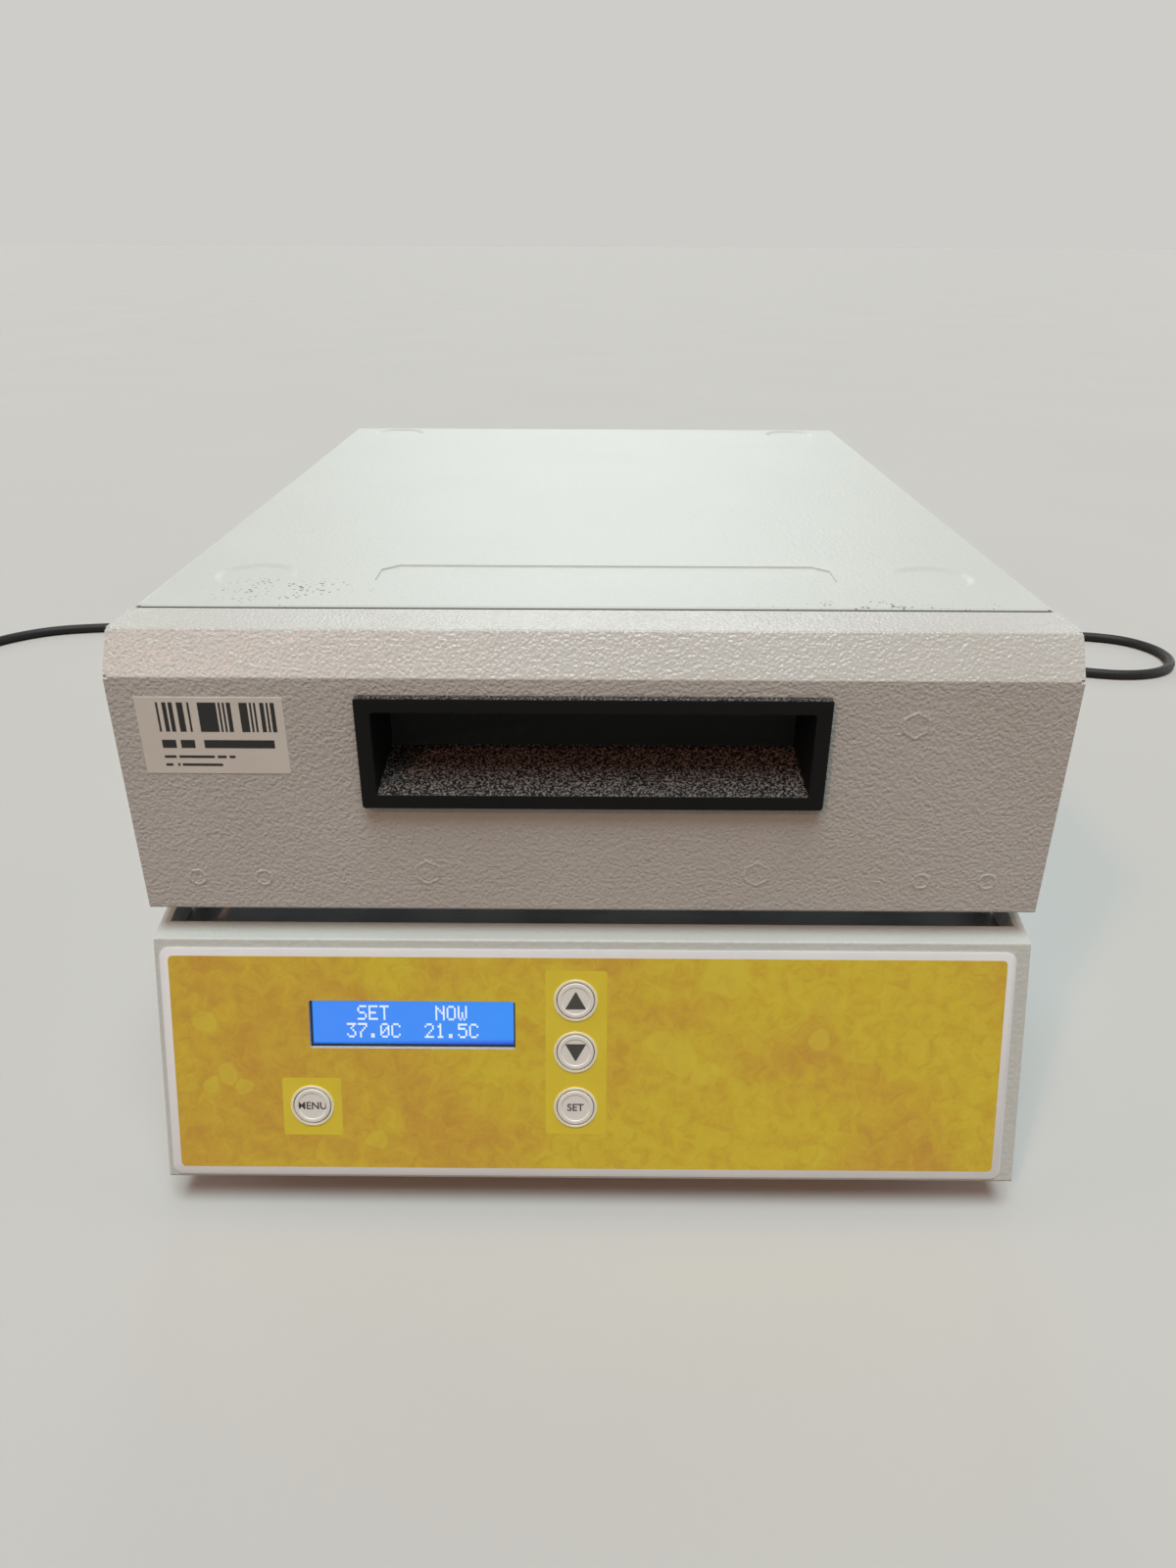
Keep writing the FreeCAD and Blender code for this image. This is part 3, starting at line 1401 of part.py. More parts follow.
def make_overlay():
    """Printed film on the panel, with round corners, the display's window and the raised key rings."""
    film_y = span("overlay_rise", "overlay_height")
    film = slab(span("overlay_x", "overlay_width"), film_y, ("0", "overlay_thickness"))
    corners = [along("z", x=value("overlay_x") + side * value("overlay_width") / 2) for side in (-1, 1)]
    film = softened(film, "overlay_corner", *corners)
    rings = []
    holes = [slab(span("display_x", "view_width"), span("display_rise", "view_height"), through_panel())]
    for spot in key_spots().values():
        top = "overlay_thickness + key_ring_proud"
        rings.append(taper("z", "key_ring_radius", "key_ring_radius - key_ring_proud", spot, ("0", top)))
        holes.append(rod("z", "key_radius + key_gap", spot, through_panel()))
    keep("graphic_overlay", leaning(without(joined(film, *rings), *holes)))


def make_display():
    """Clear window, metal bezel, glass and board of the character display."""
    spot = ("display_x", "display_rise")
    lens = slab(span(spot[0], "view_width"), span(spot[1], "view_height"), ("-lens_thickness", "0"))
    keep("display_window", leaning(lens))
    outer = (span(spot[0], "bezel_width"), span(spot[1], "bezel_height"))
    frame = slab(outer[0], outer[1], ("-bezel_back", "-sheet"))
    view = (span(spot[0], "view_width - lens_margin"), span(spot[1], "view_height - lens_margin"))
    window = slab(view[0], view[1], ("-lens_back - overrun", "overrun"))
    inner_x = span(spot[0], "bezel_width - 2 * bezel_wall")
    inner_y = span(spot[1], "bezel_height - 2 * bezel_wall")
    room = slab(inner_x, inner_y, ("-bezel_back - overrun", "-lens_back"))
    keep("display_bezel", leaning(without(frame, window, room)))
    glass = slab(inner_x, inner_y, ("-glass_back", "-lens_back"))
    light = slab(inner_x, inner_y, ("-bezel_back", "-glass_back"))
    keep("display_glass", leaning(joined(glass, light)))
    card_y = span(spot[1], "module_height")
    card = slab(span(spot[0], "module_width"), card_y, ("-card_back", "-bezel_back"))
    header_y = span(f"{spot[1]} + module_height / 2 - board_pillar_inset", "header_height")
    header = slab(span(spot[0], "header_length"), header_y, ("-board_front", "-card_back"))
    keep("display_board", leaning(joined(card, header)))


def make_control_board():
    """Board behind the panel with its pillars and the four key switches."""
    board_x = ("board_left_x", "board_right_x")
    board = slab(board_x, ("board_low", "board_high"), ("-board_back", "-board_front"))
    keep("control_board", leaning(board))
    pillars = []
    for x in ("board_left_x + board_pillar_inset", "board_right_x - board_pillar_inset"):
        for y in ("board_low + board_pillar_inset", "board_high - board_pillar_inset"):
            pillars.append(rod("z", "board_pillar_radius", (x, y), ("-board_front", "-sheet")))
    keep("board_standoffs", leaning(grouped(*pillars)))
    switches = []
    for x, y in key_spots().values():
        box_z = ("-board_front", "-board_front + switch_height")
        box = slab(span(x, "switch_side"), span(y, "switch_side"), box_z)
        tip = rod("z", "plunger_radius", (x, y), ("-board_front", "-plunger_tip"))
        switches.append(joined(box, tip))
    keep("key_switches", leaning(grouped(*switches)))


def make_keys():
    """Round key caps, each with a dished top, a flange behind the sheet and a stem."""
    for label, spot in key_spots().items():
        cap = softened(rod("z", "key_radius", spot, ("-key_seat", "key_top")), "key_round", is_key_rim)
        dish_ends = ("key_top - key_dish", "key_top")
        dish = taper("z", "key_dish_radius - key_dish", "key_dish_radius", spot, dish_ends)
        flange = rod("z", "key_flange_radius", spot, ("-key_seat", "-sheet"))
        stem = rod("z", "key_stem_radius", spot, ("-key_stem_tip", "-key_seat"))
        keep(label, leaning(without(joined(cap, flange, stem), dish)))


def is_key_rim(edge):
    """Tell whether an edge is the round rim at the top of a key."""
    return len(edge.Vertexes) == 1 and near(edge.CenterOfMass.z, value("key_top"))


# Power electronics


def make_power_parts():
    """Power supply, heater relay and terminal block on the pan's floor."""
    x = span("supply_x", "supply_width")
    y = span("supply_y", "supply_length")
    case = slab(x, y, ("floor_z", "floor_z + supply_height"))
    keep("power_supply", case)
    x = span("relay_x", "relay_width")
    y = span("relay_y", "relay_length")
    base = slab(x, y, ("floor_z", "floor_z + relay_base"))
    top_y = span("relay_y", "relay_length - 2 * relay_ear")
    top = slab(x, top_y, ("floor_z", "floor_z + relay_height"))
    keep("heater_relay", joined(base, top))
    block_top = "floor_z + block_height"
    body_y = span("block_y", "block_length")
    body = slab(span("block_x", "block_width"), body_y, ("floor_z", block_top))
    wells = []
    for step in range(-2, 3):
        spot = (f"block_x + {step} * block_pitch", "block_y")
        ends = (f"{block_top} - block_well_depth", f"{block_top} + overrun")
        wells.append(rod("z", "block_well_radius", spot, ends))
    keep("terminal_block", without(body, *wells))


def make_inlet():
    """Mains inlet with its blades, and the fuse drawer above the socket."""
    flange_z = ("inlet_low_z", "inlet_high_z")
    flange = slab(span("inlet_x", "inlet_width"), ("rear_face_y", "inlet_face_y"), flange_z)
    shell = slab(span("inlet_x", "inlet_body_width"), ("inlet_back_y", "rear_face_y"), inlet_body_z())
    socket_y = ("socket_back_y", "inlet_face_y + overrun")
    socket = slab(span("inlet_x", "socket_width"), socket_y, span("socket_z", "socket_tall"))
    well_y = (f"{drawer_back()} - drawer_play", "inlet_face_y + overrun")
    well = slab(drawer_x("drawer_play"), well_y, drawer_z("drawer_play"))
    blades = [slab(*box) for box in blade_boxes("0")]
    slots = [slab(*box) for box in blade_boxes("0")]
    keep("mains_inlet", without(joined(flange, shell), socket, well, *slots))
    keep("inlet_blades", grouped(*blades))
    seat = "inlet_face_y + drawer_play"
    face = slab(drawer_x("drawer_rim"), (seat, f"{seat} + drawer_face"), drawer_z("drawer_rim"))
    box = slab(drawer_x("0"), (drawer_back(), seat), drawer_z("0"))
    nests = []
    fuses = []
    for side in (-1, 1):
        x = f"inlet_x + {side} * fuse_spread / 2"
        ends = (f"{drawer_back()} + drawer_wall", f"{drawer_back()} + drawer_wall + fuse_length")
        nests.append(rod("y", "fuse_radius", (x, "drawer_z"), ends))
        nests.append(slab(span(x, "2 * fuse_radius"), ends, ("drawer_z", "drawer_z + drawer_tall")))
        fuses.append(rod("y", "fuse_radius", (x, "drawer_z"), ends))
    keep("fuse_drawer", without(joined(face, box), *nests))
    keep("fuses", grouped(*fuses))


def drawer_back():
    """Give the place of the fuse drawer's inner end."""
    return "inlet_face_y - drawer_depth"


def drawer_x(grow):
    """Give the fuse drawer's ends across, grown by a clearance or a rim."""
    return span("inlet_x", f"drawer_width + 2 * {grow}")


def drawer_z(grow):
    """Give the fuse drawer's low and high ends, grown by a clearance or a rim."""
    return span("drawer_z", f"drawer_tall + 2 * {grow}")


def blade_boxes(grow):
    """List the spans of the inlet's three blades, grown by a clearance."""
    spots = [("-blade_spread", "-blade_offset"), ("0", "blade_offset"), ("blade_spread", "-blade_offset")]
    ends = ("inlet_back_y - blade_tail", f"socket_back_y + blade_length + {grow}")
    boxes = []
    for x, z in spots:
        across = span(f"inlet_x + {x}", f"blade_width + 2 * {grow}")
        up = span(f"socket_z + {z}", f"blade_tall + 2 * {grow}")
        boxes.append((across, ends, up))
    return boxes


def make_switch():
    """Power switch: a framed housing with its pivot, and the rocker."""
    frame_z = span("switch_z", "rocker_frame_tall")
    frame = slab(span("switch_x", "rocker_frame_width"), ("rear_face_y", "rocker_y"), frame_z)
    shell_x = span("switch_x", "switch_body_width")
    shell_z = span("switch_z", "switch_body_tall")
    shell = slab(shell_x, ("rear_face_y - switch_body_depth", "rear_face_y"), shell_z)
    room_x = span("switch_x", "rocker_width + 2 * rocker_gap")
    room_y = ("rocker_y - rocker_depth - 2 * rocker_swing", "rocker_y + overrun")
    room = slab(room_x, room_y, span("switch_z", "rocker_tall + 2 * rocker_swing"))
    pivot_x = span("switch_x", "switch_body_width")
    pivot = rod("x", "rocker_pivot_radius", ("pivot_y", "switch_z"), pivot_x)
    keep("switch_housing", joined(without(joined(frame, shell), room), pivot))
    body = new_body("Rocker")
    points = [
        ("rocker_y - rocker_depth", "switch_z - rocker_root"),
        ("rocker_y - rocker_depth", "switch_z + rocker_root"),
        ("rocker_y - rocker_gap", "switch_z + rocker_tall / 2"),
        ("rocker_y", "switch_z + rocker_tall / 2"),
        ("rocker_y", "switch_z"),
        ("rocker_y + rocker_crown", "switch_z - rocker_tall / 2"),
        ("rocker_y - rocker_gap", "switch_z - rocker_tall / 2"),
    ]
    pad(body, outline(body, "YZ_Plane", points), "rocker_width")
    put(body, "switch_x", "0", "0")
    bore = rod("x", "rocker_pivot_radius + pin_play", ("pivot_y", "switch_z"), shell_x)
    keep("power_rocker", without(body, bore))


# Lead


def arc_through(start, first, end):
    """Make the arc that leaves a point in a direction and ends at another point."""
    chord = end - start
    across = chord - first * chord.dot(first)
    if across.Length < chord.Length * TINY_SHARE:
        return Part.LineSegment(start, end).toShape()
    normal = first.cross(across).normalize()
    inward = normal.cross(first).normalize()
    radius = chord.dot(chord) / (2 * chord.dot(inward))
    centre = start + inward * radius
    middle = (start + end) / 2 - centre
    middle.normalize()
    if first.dot(chord) < 0:
        middle = middle * -1
    return Part.Arc(start, centre + middle * radius, end).toShape()


def biarc(start, first, end, last):
    """Join two points and their directions by two arcs that meet smoothly."""
    gap = end - start
    turn = first + last
    a = 2 * (1 - first.dot(last))
    b = 2 * gap.dot(turn)
    c = -gap.dot(gap)
    if abs(a) < TINY_SHARE:
        reach = -c / b
    else:
        reach = (-b + math.sqrt(b * b - 4 * a * c)) / (2 * a)
    middle = (start + first * reach + end - last * reach) / 2
    back = arc_through(end, last * -1, middle)
    return [arc_through(start, first, middle), back]


def lead_points():
    """Give the lead's points where the connector's place puts them."""
    drop = value("socket_z") - value("cord_radius")
    start = Vector(value("inlet_x"), value("lead_start_y"), value("cord_radius"))
    return [start + Vector(right, behind, share * drop) for right, behind, share in LEAD_ROUTE]


def lead_wire(points):
    """Make straight runs joined by tangent arcs, and list the arcs' radii."""
    edges = []
    radii = []
    here = points[0]
    for before, corner, after in zip(points, points[1:], points[2:]):
        inward = (corner - before).normalize()
        outward = (after - corner).normalize()
        half_turn = inward.getAngle(outward) / 2
        reach = ARC_SHARE * min((corner - before).Length, (after - corner).Length)
        radii.append(reach / math.tan(half_turn))
        start = corner - inward * reach
        edges.append(Part.LineSegment(here, start).toShape())
        here = corner + outward * reach
        edges.append(arc_through(start, inward, here))
    edges.append(Part.LineSegment(here, points[-1]).toShape())
    return Part.Wire(edges), radii


def swept(wire, start, direction, radius):
    """Sweep a round section along a wire into one solid."""
    ring = Part.Wire([Part.makeCircle(radius, start, direction)])
    return wire.makePipeShell([ring], True, False)


def eased(share):
    """Turn a share that grows evenly into one that starts and ends gently."""
    share = min(max(share, 0.0), 1.0)
    return share * share * (3 - 2 * share)


def coil_place(turns):
    """Give the centre line's place in the coil after a number of turns."""
    wide = value("coil_radius")
    inwards = value("coil_pitch") * min(turns, COIL_TURN_BACK_SHARE)
    outwards = value("coil_pitch") * max(turns - COIL_TURN_BACK_SHARE, 0.0)
    radius = wide - inwards + outwards
    start = lead_points()[-1]
    x = start.x - wide + radius * math.cos(-2 * math.pi * turns)
    y = start.y - value("cord_diameter") + radius * math.sin(-2 * math.pi * turns)
    climb = value("coil_layer") * eased((turns - COIL_CLIMB_START_SHARE) / COIL_CLIMB_SHARE)
    spare = value("plug_z") - value("cord_radius") - value("coil_layer")
    lift = spare * eased((turns - COIL_TURN_COUNT + COIL_CLIMB_SHARE) / COIL_CLIMB_SHARE)
    return Vector(x, y, value("cord_radius") + climb + lift)


def coil_frame(turns):
    """Give the centre line's place and its direction in the coil after a number of turns."""
    if turns in (0, COIL_TURN_COUNT):
        return coil_place(turns), Vector(0, -1, 0)
    ahead = coil_place(turns + TINY_TURN_SHARE)
    behind = coil_place(turns - TINY_TURN_SHARE)
    return coil_place(turns), (ahead - behind).normalize()


def coil_wire():
    """Wind the coil: in on the bench, up a layer, and out on top, with a straight end each way."""
    steps = [i / COIL_STEP_COUNT for i in range(COIL_TURN_COUNT * COIL_STEP_COUNT + 1)]
    frames = [coil_frame(step) for step in steps]
    down = Vector(0, -1, 0) * value("cord_diameter")
    edges = [Part.LineSegment(frames[0][0] - down, frames[0][0]).toShape()]
    for (start, first), (end, last) in zip(frames, frames[1:]):
        edges += biarc(start, first, end, last)
    tail = frames[-1][0] + down
    edges.append(Part.LineSegment(frames[-1][0], tail).toShape())
    return Part.Wire(Part.sortEdges(edges)[0]), frames[0][0] - down, tail


def least_gap(wire, diameter):
    """Measure the least gap of a wound tube to itself, on points along its centre line."""
    spacing = diameter / GAP_POINT_COUNT
    points = wire.discretize(Distance=spacing)
    apart = GAP_POINT_COUNT * GAP_POINT_COUNT
    pairs = ((i, j) for i in range(len(points)) for j in range(i + apart, len(points)))
    return min((points[i] - points[j]).Length for i, j in pairs) - diameter


def make_lead():
    """Free stretch of the lead, its coil, the connector at the inlet and the plug."""
    radius = value("cord_radius")
    points = lead_points()
    wire, radii = lead_wire(points)
    free = swept(wire, points[0], Vector(0, 1, 0), radius)
    keep_shape("power_cord", free)
    coil, coil_start, coil_end = coil_wire()
    wound = swept(coil, coil_start, Vector(0, -1, 0), radius)
    keep_shape("power_cord_coil", wound)
    section = math.pi * radius * radius
    print("lead radii", sorted(round(item, 1) for item in radii)[:6])
    print("lead length", round(wire.Length, 1), "coil length", round(coil.Length, 1))
    print("lead volume ratio", round(free.Volume / (section * wire.Length), 4))
    print("coil volume ratio", round(wound.Volume / (section * coil.Length), 4))
    print("coil least gap", round(least_gap(coil, 2 * radius), 2))
    print("lead ends at", points[-1], "coil starts at", coil_start, "ends at", coil_end)
    make_connector()
    make_plug(coil_end)


def make_connector():
    """Connector with its tapered strain relief, pushed into the mains inlet."""
    grip = slab(span("inlet_x", "grip_width"), ("grip_y", "relief_y"), span("socket_z", "grip_tall"))
    edges = [along("y", x=value("inlet_x") + side * value("grip_width") / 2) for side in (-1, 1)]
    grip = softened(grip, "grip_round", *edges)
    nose_x = span("inlet_x", "socket_width - 2 * insert_play")
    nose_z = span("socket_z", "socket_tall - 2 * insert_play")
    nose = slab(nose_x, ("inlet_face_y - insert_length", "grip_y"), nose_z)
    centre = ("inlet_x", "socket_z")
    tail = taper("y", "relief_root_radius", "relief_tip_radius", centre, ("relief_y", "lead_start_y"))
    cuts = [slab(*box) for box in blade_boxes("insert_play")]
    keep("mains_connector", without(joined(grip, nose, tail), *cuts))


def make_plug(end):
    """Moulded plug with its blades, beside the coil where the lead ends."""
    x, y, z = str(end.x), str(end.y), str(end.z)
    tail = taper("y", "relief_root_radius", "relief_tip_radius", (x, z), (f"{y} - relief_length", y))
    back = f"{y} - relief_length"
    front = f"{y} - relief_length - plug_length"
    grip = slab(span(x, "plug_width"), (front, back), span(z, "plug_tall"))
    edges = [along("y", x=end.x + side * value("plug_width") / 2) for side in (-1, 1)]
    grip = softened(grip, "grip_round", *edges)
    blade_ends = (f"{front} - plug_blade_length", front)
    blades = []
    for side in (-1, 1):
        spot = f"{x} + {side} * plug_blade_spread / 2"
        blades.append(slab(span(spot, "plug_blade_thickness"), blade_ends, span(z, "plug_blade_tall")))
    blades.append(rod("y", "plug_earth_radius", (x, f"{z} - plug_earth_drop"), blade_ends))
    keep("mains_plug", joined(grip, tail, *blades))


def check_and_write():
    """Stop on any failed object or bad shape, then write each sub-part to its own file."""
    doc.recompute()
    for item in doc.Objects:
        if any(word in state for state in item.State for word in ("Invalid", "Error")):
            raise RuntimeError(f"{item.Label} failed: {item.State}")
    for item in nodes:
        if item.Shape.isNull() or not item.Shape.isValid() or not item.Shape.Solids:
            raise RuntimeError(f"{item.Label} has a bad shape")
    os.makedirs("parts", exist_ok=True)
    for item in nodes:
        item.Shape.exportStep(os.path.join("parts", item.Label + ".step"))
    print(len(nodes), "sub-parts written")


def main():
    """Build the oven and write its sub-parts."""
    fill_sheet()
    fill_places()
    make_front_casing()
    make_lower_pan()
    make_cabinet_wrapper()
    make_rear_panel()
    make_front_frame()
    make_trough_pan()
    make_deck_plate()
    make_feet()
    make_case_screws()
    make_chamber_liner()
    make_tray_rails()
    make_heaters_and_wool()
    make_probe_and_cutout()
    make_door_gasket()
    make_hinges()
    make_hinge_studs()
    make_catches()
    make_door_shell()
    make_door_inside()
    make_handle()
    make_label()
    make_overlay()
    make_display()
    make_control_board()
    make_keys()
    make_power_parts()
    make_inlet()
    make_switch()
    make_lead()
    check_and_write()


main()
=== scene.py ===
"""Looks of the bench hybridization oven: finishes for its sheets and plastics, and the pieces that show.

Everything is in metres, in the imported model's own frame: z up, the door and the panel towards -y.
"""

import logging
import math
import random
from dataclasses import dataclass, field
from enum import Enum
from typing import Callable, Sequence

import bmesh
import bpy
from bpy.types import Material, NodeSocket, NodeTree
from mathutils import Matrix, Vector


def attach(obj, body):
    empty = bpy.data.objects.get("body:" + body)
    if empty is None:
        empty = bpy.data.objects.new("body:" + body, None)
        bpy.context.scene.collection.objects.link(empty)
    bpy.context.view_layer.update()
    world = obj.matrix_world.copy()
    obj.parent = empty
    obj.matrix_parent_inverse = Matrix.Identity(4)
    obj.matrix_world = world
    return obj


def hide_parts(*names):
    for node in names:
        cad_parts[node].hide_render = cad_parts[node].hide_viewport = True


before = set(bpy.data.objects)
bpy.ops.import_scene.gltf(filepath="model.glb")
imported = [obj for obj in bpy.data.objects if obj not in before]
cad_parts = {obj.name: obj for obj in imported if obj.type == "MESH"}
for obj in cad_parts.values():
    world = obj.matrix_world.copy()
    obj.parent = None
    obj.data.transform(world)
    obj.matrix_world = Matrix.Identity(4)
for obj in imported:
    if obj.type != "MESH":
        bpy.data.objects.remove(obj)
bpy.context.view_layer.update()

logging.basicConfig(level=logging.INFO, format="%(message)s")
log = logging.getLogger("oven")

MM = 0.001
OVEN = "oven"
DOOR = "door"

# Planes that flat pieces are built on and then stood in: x across, y up the plane, z outwards.
# The panel leans back 22.7 mm over 80 mm of height.
PANEL_LEAN = math.atan2(22.7, 80.0)
PANEL_FOOT = Vector((0.0, -200.4, 12.0)) * MM
PANEL_PLANE = Matrix.Translation(PANEL_FOOT) @ Matrix.Rotation(math.pi / 2 - PANEL_LEAN, 4, "X")
DOOR_FACE_Y = -175.6 * MM
DOOR_PLANE = Matrix.Translation((0.0, DOOR_FACE_Y, 0.0)) @ Matrix.Rotation(math.pi / 2, 4, "X")

# A direction with more than this share along an axis runs along it, and places nearer than this are the same.
# Points nearer than the last are merged.
ALONG = 0.9
SAME = 0.01 * MM
MERGED = 0.002 * MM

# Typical refraction of polyester, ink and glass, and of moulded plastic.
COAT_IOR = 1.5
PLASTIC_IOR = 1.53

Pick = Callable[[Vector, Vector], bool]
Inputs = dict[str | int, object]
Stops = Sequence[tuple[float, str]]


# Materials


def linear(colour: str) -> tuple[float, float, float, float]:
    """Turn an sRGB hex colour into linear values.

    Args:
        colour: Six hex digits after a hash sign.

    Returns:
        Red, green, blue and an alpha of one.
    """
    channels = [int(colour[i:i + 2], 16) / 255 for i in (1, 3, 5)]
    return (*[c / 12.92 if c <= 0.04045 else ((c + 0.055) / 1.055) ** 2.4 for c in channels], 1.0)


def per_metre(size_mm: float) -> float:
    """Give the texture scale whose features are a size in millimetres."""
    return 1.0 / (size_mm * MM)


def add_node(tree: NodeTree, kind: str, inputs: Inputs | None = None, stops: Stops = (),
             **settings: object) -> NodeSocket | None:
    """Add a node with its settings, its values and its links.

    Args:
        tree: The node tree.
        kind: The node's type, without its first word.
        inputs: By the input's name or number, a value, a hex colour, or a socket to link.
        stops: A ramp's places from 0 to 1, each with a hex colour.
        **settings: The node's own settings.

    Returns:
        The first of its outputs that is in use.
    """
    node = tree.nodes.new(f"ShaderNode{kind}")
    for name, setting in settings.items():
        setattr(node, name, setting)
    for name, value in (inputs or {}).items():
        if isinstance(value, NodeSocket):
            tree.links.new(value, node.inputs[name])
        else:
            node.inputs[name].default_value = linear(value) if isinstance(value, str) else value
    for i, (place, colour) in enumerate(stops):
        point = node.color_ramp.elements[i] if i < 2 else node.color_ramp.elements.new(place)
        point.position, point.color = place, linear(colour)
    return next((socket for socket in node.outputs if socket.enabled), None)


def panel_place(tree: NodeTree, place: NodeSocket) -> NodeSocket:
    """Turn a place into the leaning panel's plane: x across, y up the slope, z outwards."""
    return add_node(tree, "Mapping", {"Vector": place, "Location": PANEL_FOOT,
                                      "Rotation": (math.pi / 2 - PANEL_LEAN, 0.0, 0.0)}, vector_type="TEXTURE")


def seen(tree: NodeTree) -> NodeSocket:
    """Tell what the eye sees from thrown light.

    Args:
        tree: The node tree.

    Returns:
        A value of 1 for what is seen, in a mirror or through glass too, and of 0 for thrown light.
    """
    rays = add_node(tree, "LightPath").node.outputs
    either = add_node(tree, "Math", {0: rays["Is Camera Ray"], 1: rays["Is Glossy Ray"]}, operation="MAXIMUM")
    return add_node(tree, "Math", {0: either, 1: rays["Is Transmission Ray"]}, operation="MAXIMUM")


# Finishes


class Finish:
    """What every finish shares: its material is one shader, fed by the surface that the finish lays."""

    name: str

    def surface(self, tree: NodeTree, place: NodeSocket) -> Inputs:
        """Lay the surface. Each finish has its own way.

        Args:
            tree: The node tree.
            place: The place on the piece, which the patterns read.

        Returns:
            The shader's inputs.
        """
        raise NotImplementedError

    def build(self) -> Material:
        """Make the material.

        Returns:
            The material.
        """
        material = bpy.data.materials.new(self.name)
        material.use_nodes = True
        tree = material.node_tree
        tree.nodes.clear()
        place = add_node(tree, "TexCoord").node.outputs["Object"]
        shader = add_node(tree, "BsdfPrincipled", self.surface(tree, place))
        add_node(tree, "OutputMaterial", {"Surface": shader})
        return material


@dataclass(frozen=True)
class PowderCoat(Finish):
    """Polyester powder baked on steel: an eggshell sheen that orange peel breaks into small glints."""

    name: str = "powder_coated_steel"
    tone: str = "#D7DCD8"
    shade: str = "#D5DAD6"
    peel_mm: float = 1.5
    depth_mm: float = 0.17
    sheen: tuple[float, float] = (0.34, 0.44)
    cloud_mm: float = 45.0
    # Spots with chips: the middle's x and y, and how far they reach along both.
    chips: tuple[tuple[float, float, float, float], ...] = ()
    chip_mm: float = 1.8
    chip_patch_mm: float = 8.0
    chip_depth_mm: float = 0.04
    bared: str = "#5E625F"

    def surface(self, tree: NodeTree, place: NodeSocket) -> Inputs:
        """Cloud the colour a little and raise the peel, with chips round the stated spots.

        Args:
            tree: The node tree.
            place: The place on the piece.

        Returns:
            The shader's inputs.
        """
        cloud = add_node(tree, "TexNoise", {"Vector": place, "Scale": per_metre(self.cloud_mm), "Detail": 3.0})
        tone = add_node(tree, "ValToRGB", {"Fac": cloud}, ((0.35, self.shade), (0.65, self.tone)))
        wave = add_node(tree, "TexNoise", {"Vector": place, "Scale": per_metre(self.peel_mm), "Detail": 1.0,
                                           "Roughness": 0.4})
        cells = add_node(tree, "TexVoronoi", {"Vector": place, "Scale": per_metre(self.peel_mm * 1.1),
                                              "Smoothness": 1.0}, feature="SMOOTH_F1")
        height = add_node(tree, "Math", {0: cells, 1: -0.3, 2: wave}, operation="MULTIPLY_ADD")
        normal = add_node(tree, "Bump", {"Height": height, "Distance": self.depth_mm * MM})
        rough = add_node(tree, "MapRange", {"Value": wave, "From Min": 0.3, "From Max": 0.7,
                                            "To Min": self.sheen[0], "To Max": self.sheen[1]})
        if self.chips:
            tone, normal = self.chipped(tree, place, tone, normal)
        return {"Base Color": tone, "Roughness": rough, "Normal": normal, "IOR": COAT_IOR}

    def chipped(self, tree: NodeTree, place: NodeSocket, tone: NodeSocket,
                normal: NodeSocket) -> tuple[NodeSocket, NodeSocket]:
        """Add small dark chips, which a stacked oven's feet leave in the coat.

        Args:
            tree: The node tree.
            place: The place on the piece.
            tone: The sound coat's colour.
            normal: The sound coat's normal.

        Returns:
            The colour and the normal with the chips.
        """
        near = 0.0
        for x, y, reach_x, reach_y in self.chips:
            offset = add_node(tree, "Mapping", {"Vector": place, "Location": (-x / reach_x, -y / reach_y, 0.0),
                                                "Scale": (1 / reach_x, 1 / reach_y, 0.0)})
            away = add_node(tree, "VectorMath", {0: offset}, operation="LENGTH").node.outputs["Value"]
            spot = add_node(tree, "MapRange", {"Value": away, "To Min": 1.0, "To Max": 0.0})
            near = add_node(tree, "Math", {0: spot, 1: near}, operation="MAXIMUM")
        grains = add_node(tree, "TexVoronoi", {"Vector": place, "Scale": per_metre(self.chip_mm)})
        patchy = add_node(tree, "TexNoise", {"Vector": place, "Scale": per_metre(self.chip_patch_mm),
                                             "Detail": 2.0})
        patchy = add_node(tree, "MapRange", {"Value": patchy, "From Min": 0.4, "From Max": 0.56,
                                             "To Min": 0.04, "To Max": 0.4})
        limit = add_node(tree, "Math", {0: near, 1: patchy}, operation="MULTIPLY")
        chip = add_node(tree, "Math", {0: grains, 1: limit}, operation="LESS_THAN")
        sound = add_node(tree, "Math", {0: 1.0, 1: chip}, operation="SUBTRACT")
        deeper = add_node(tree, "Bump", {"Height": sound, "Distance": self.chip_depth_mm * MM,
                                         "Normal": normal})
        return add_node(tree, "Mix", {0: chip, 6: tone, 7: self.bared}, data_type="RGBA"), deeper


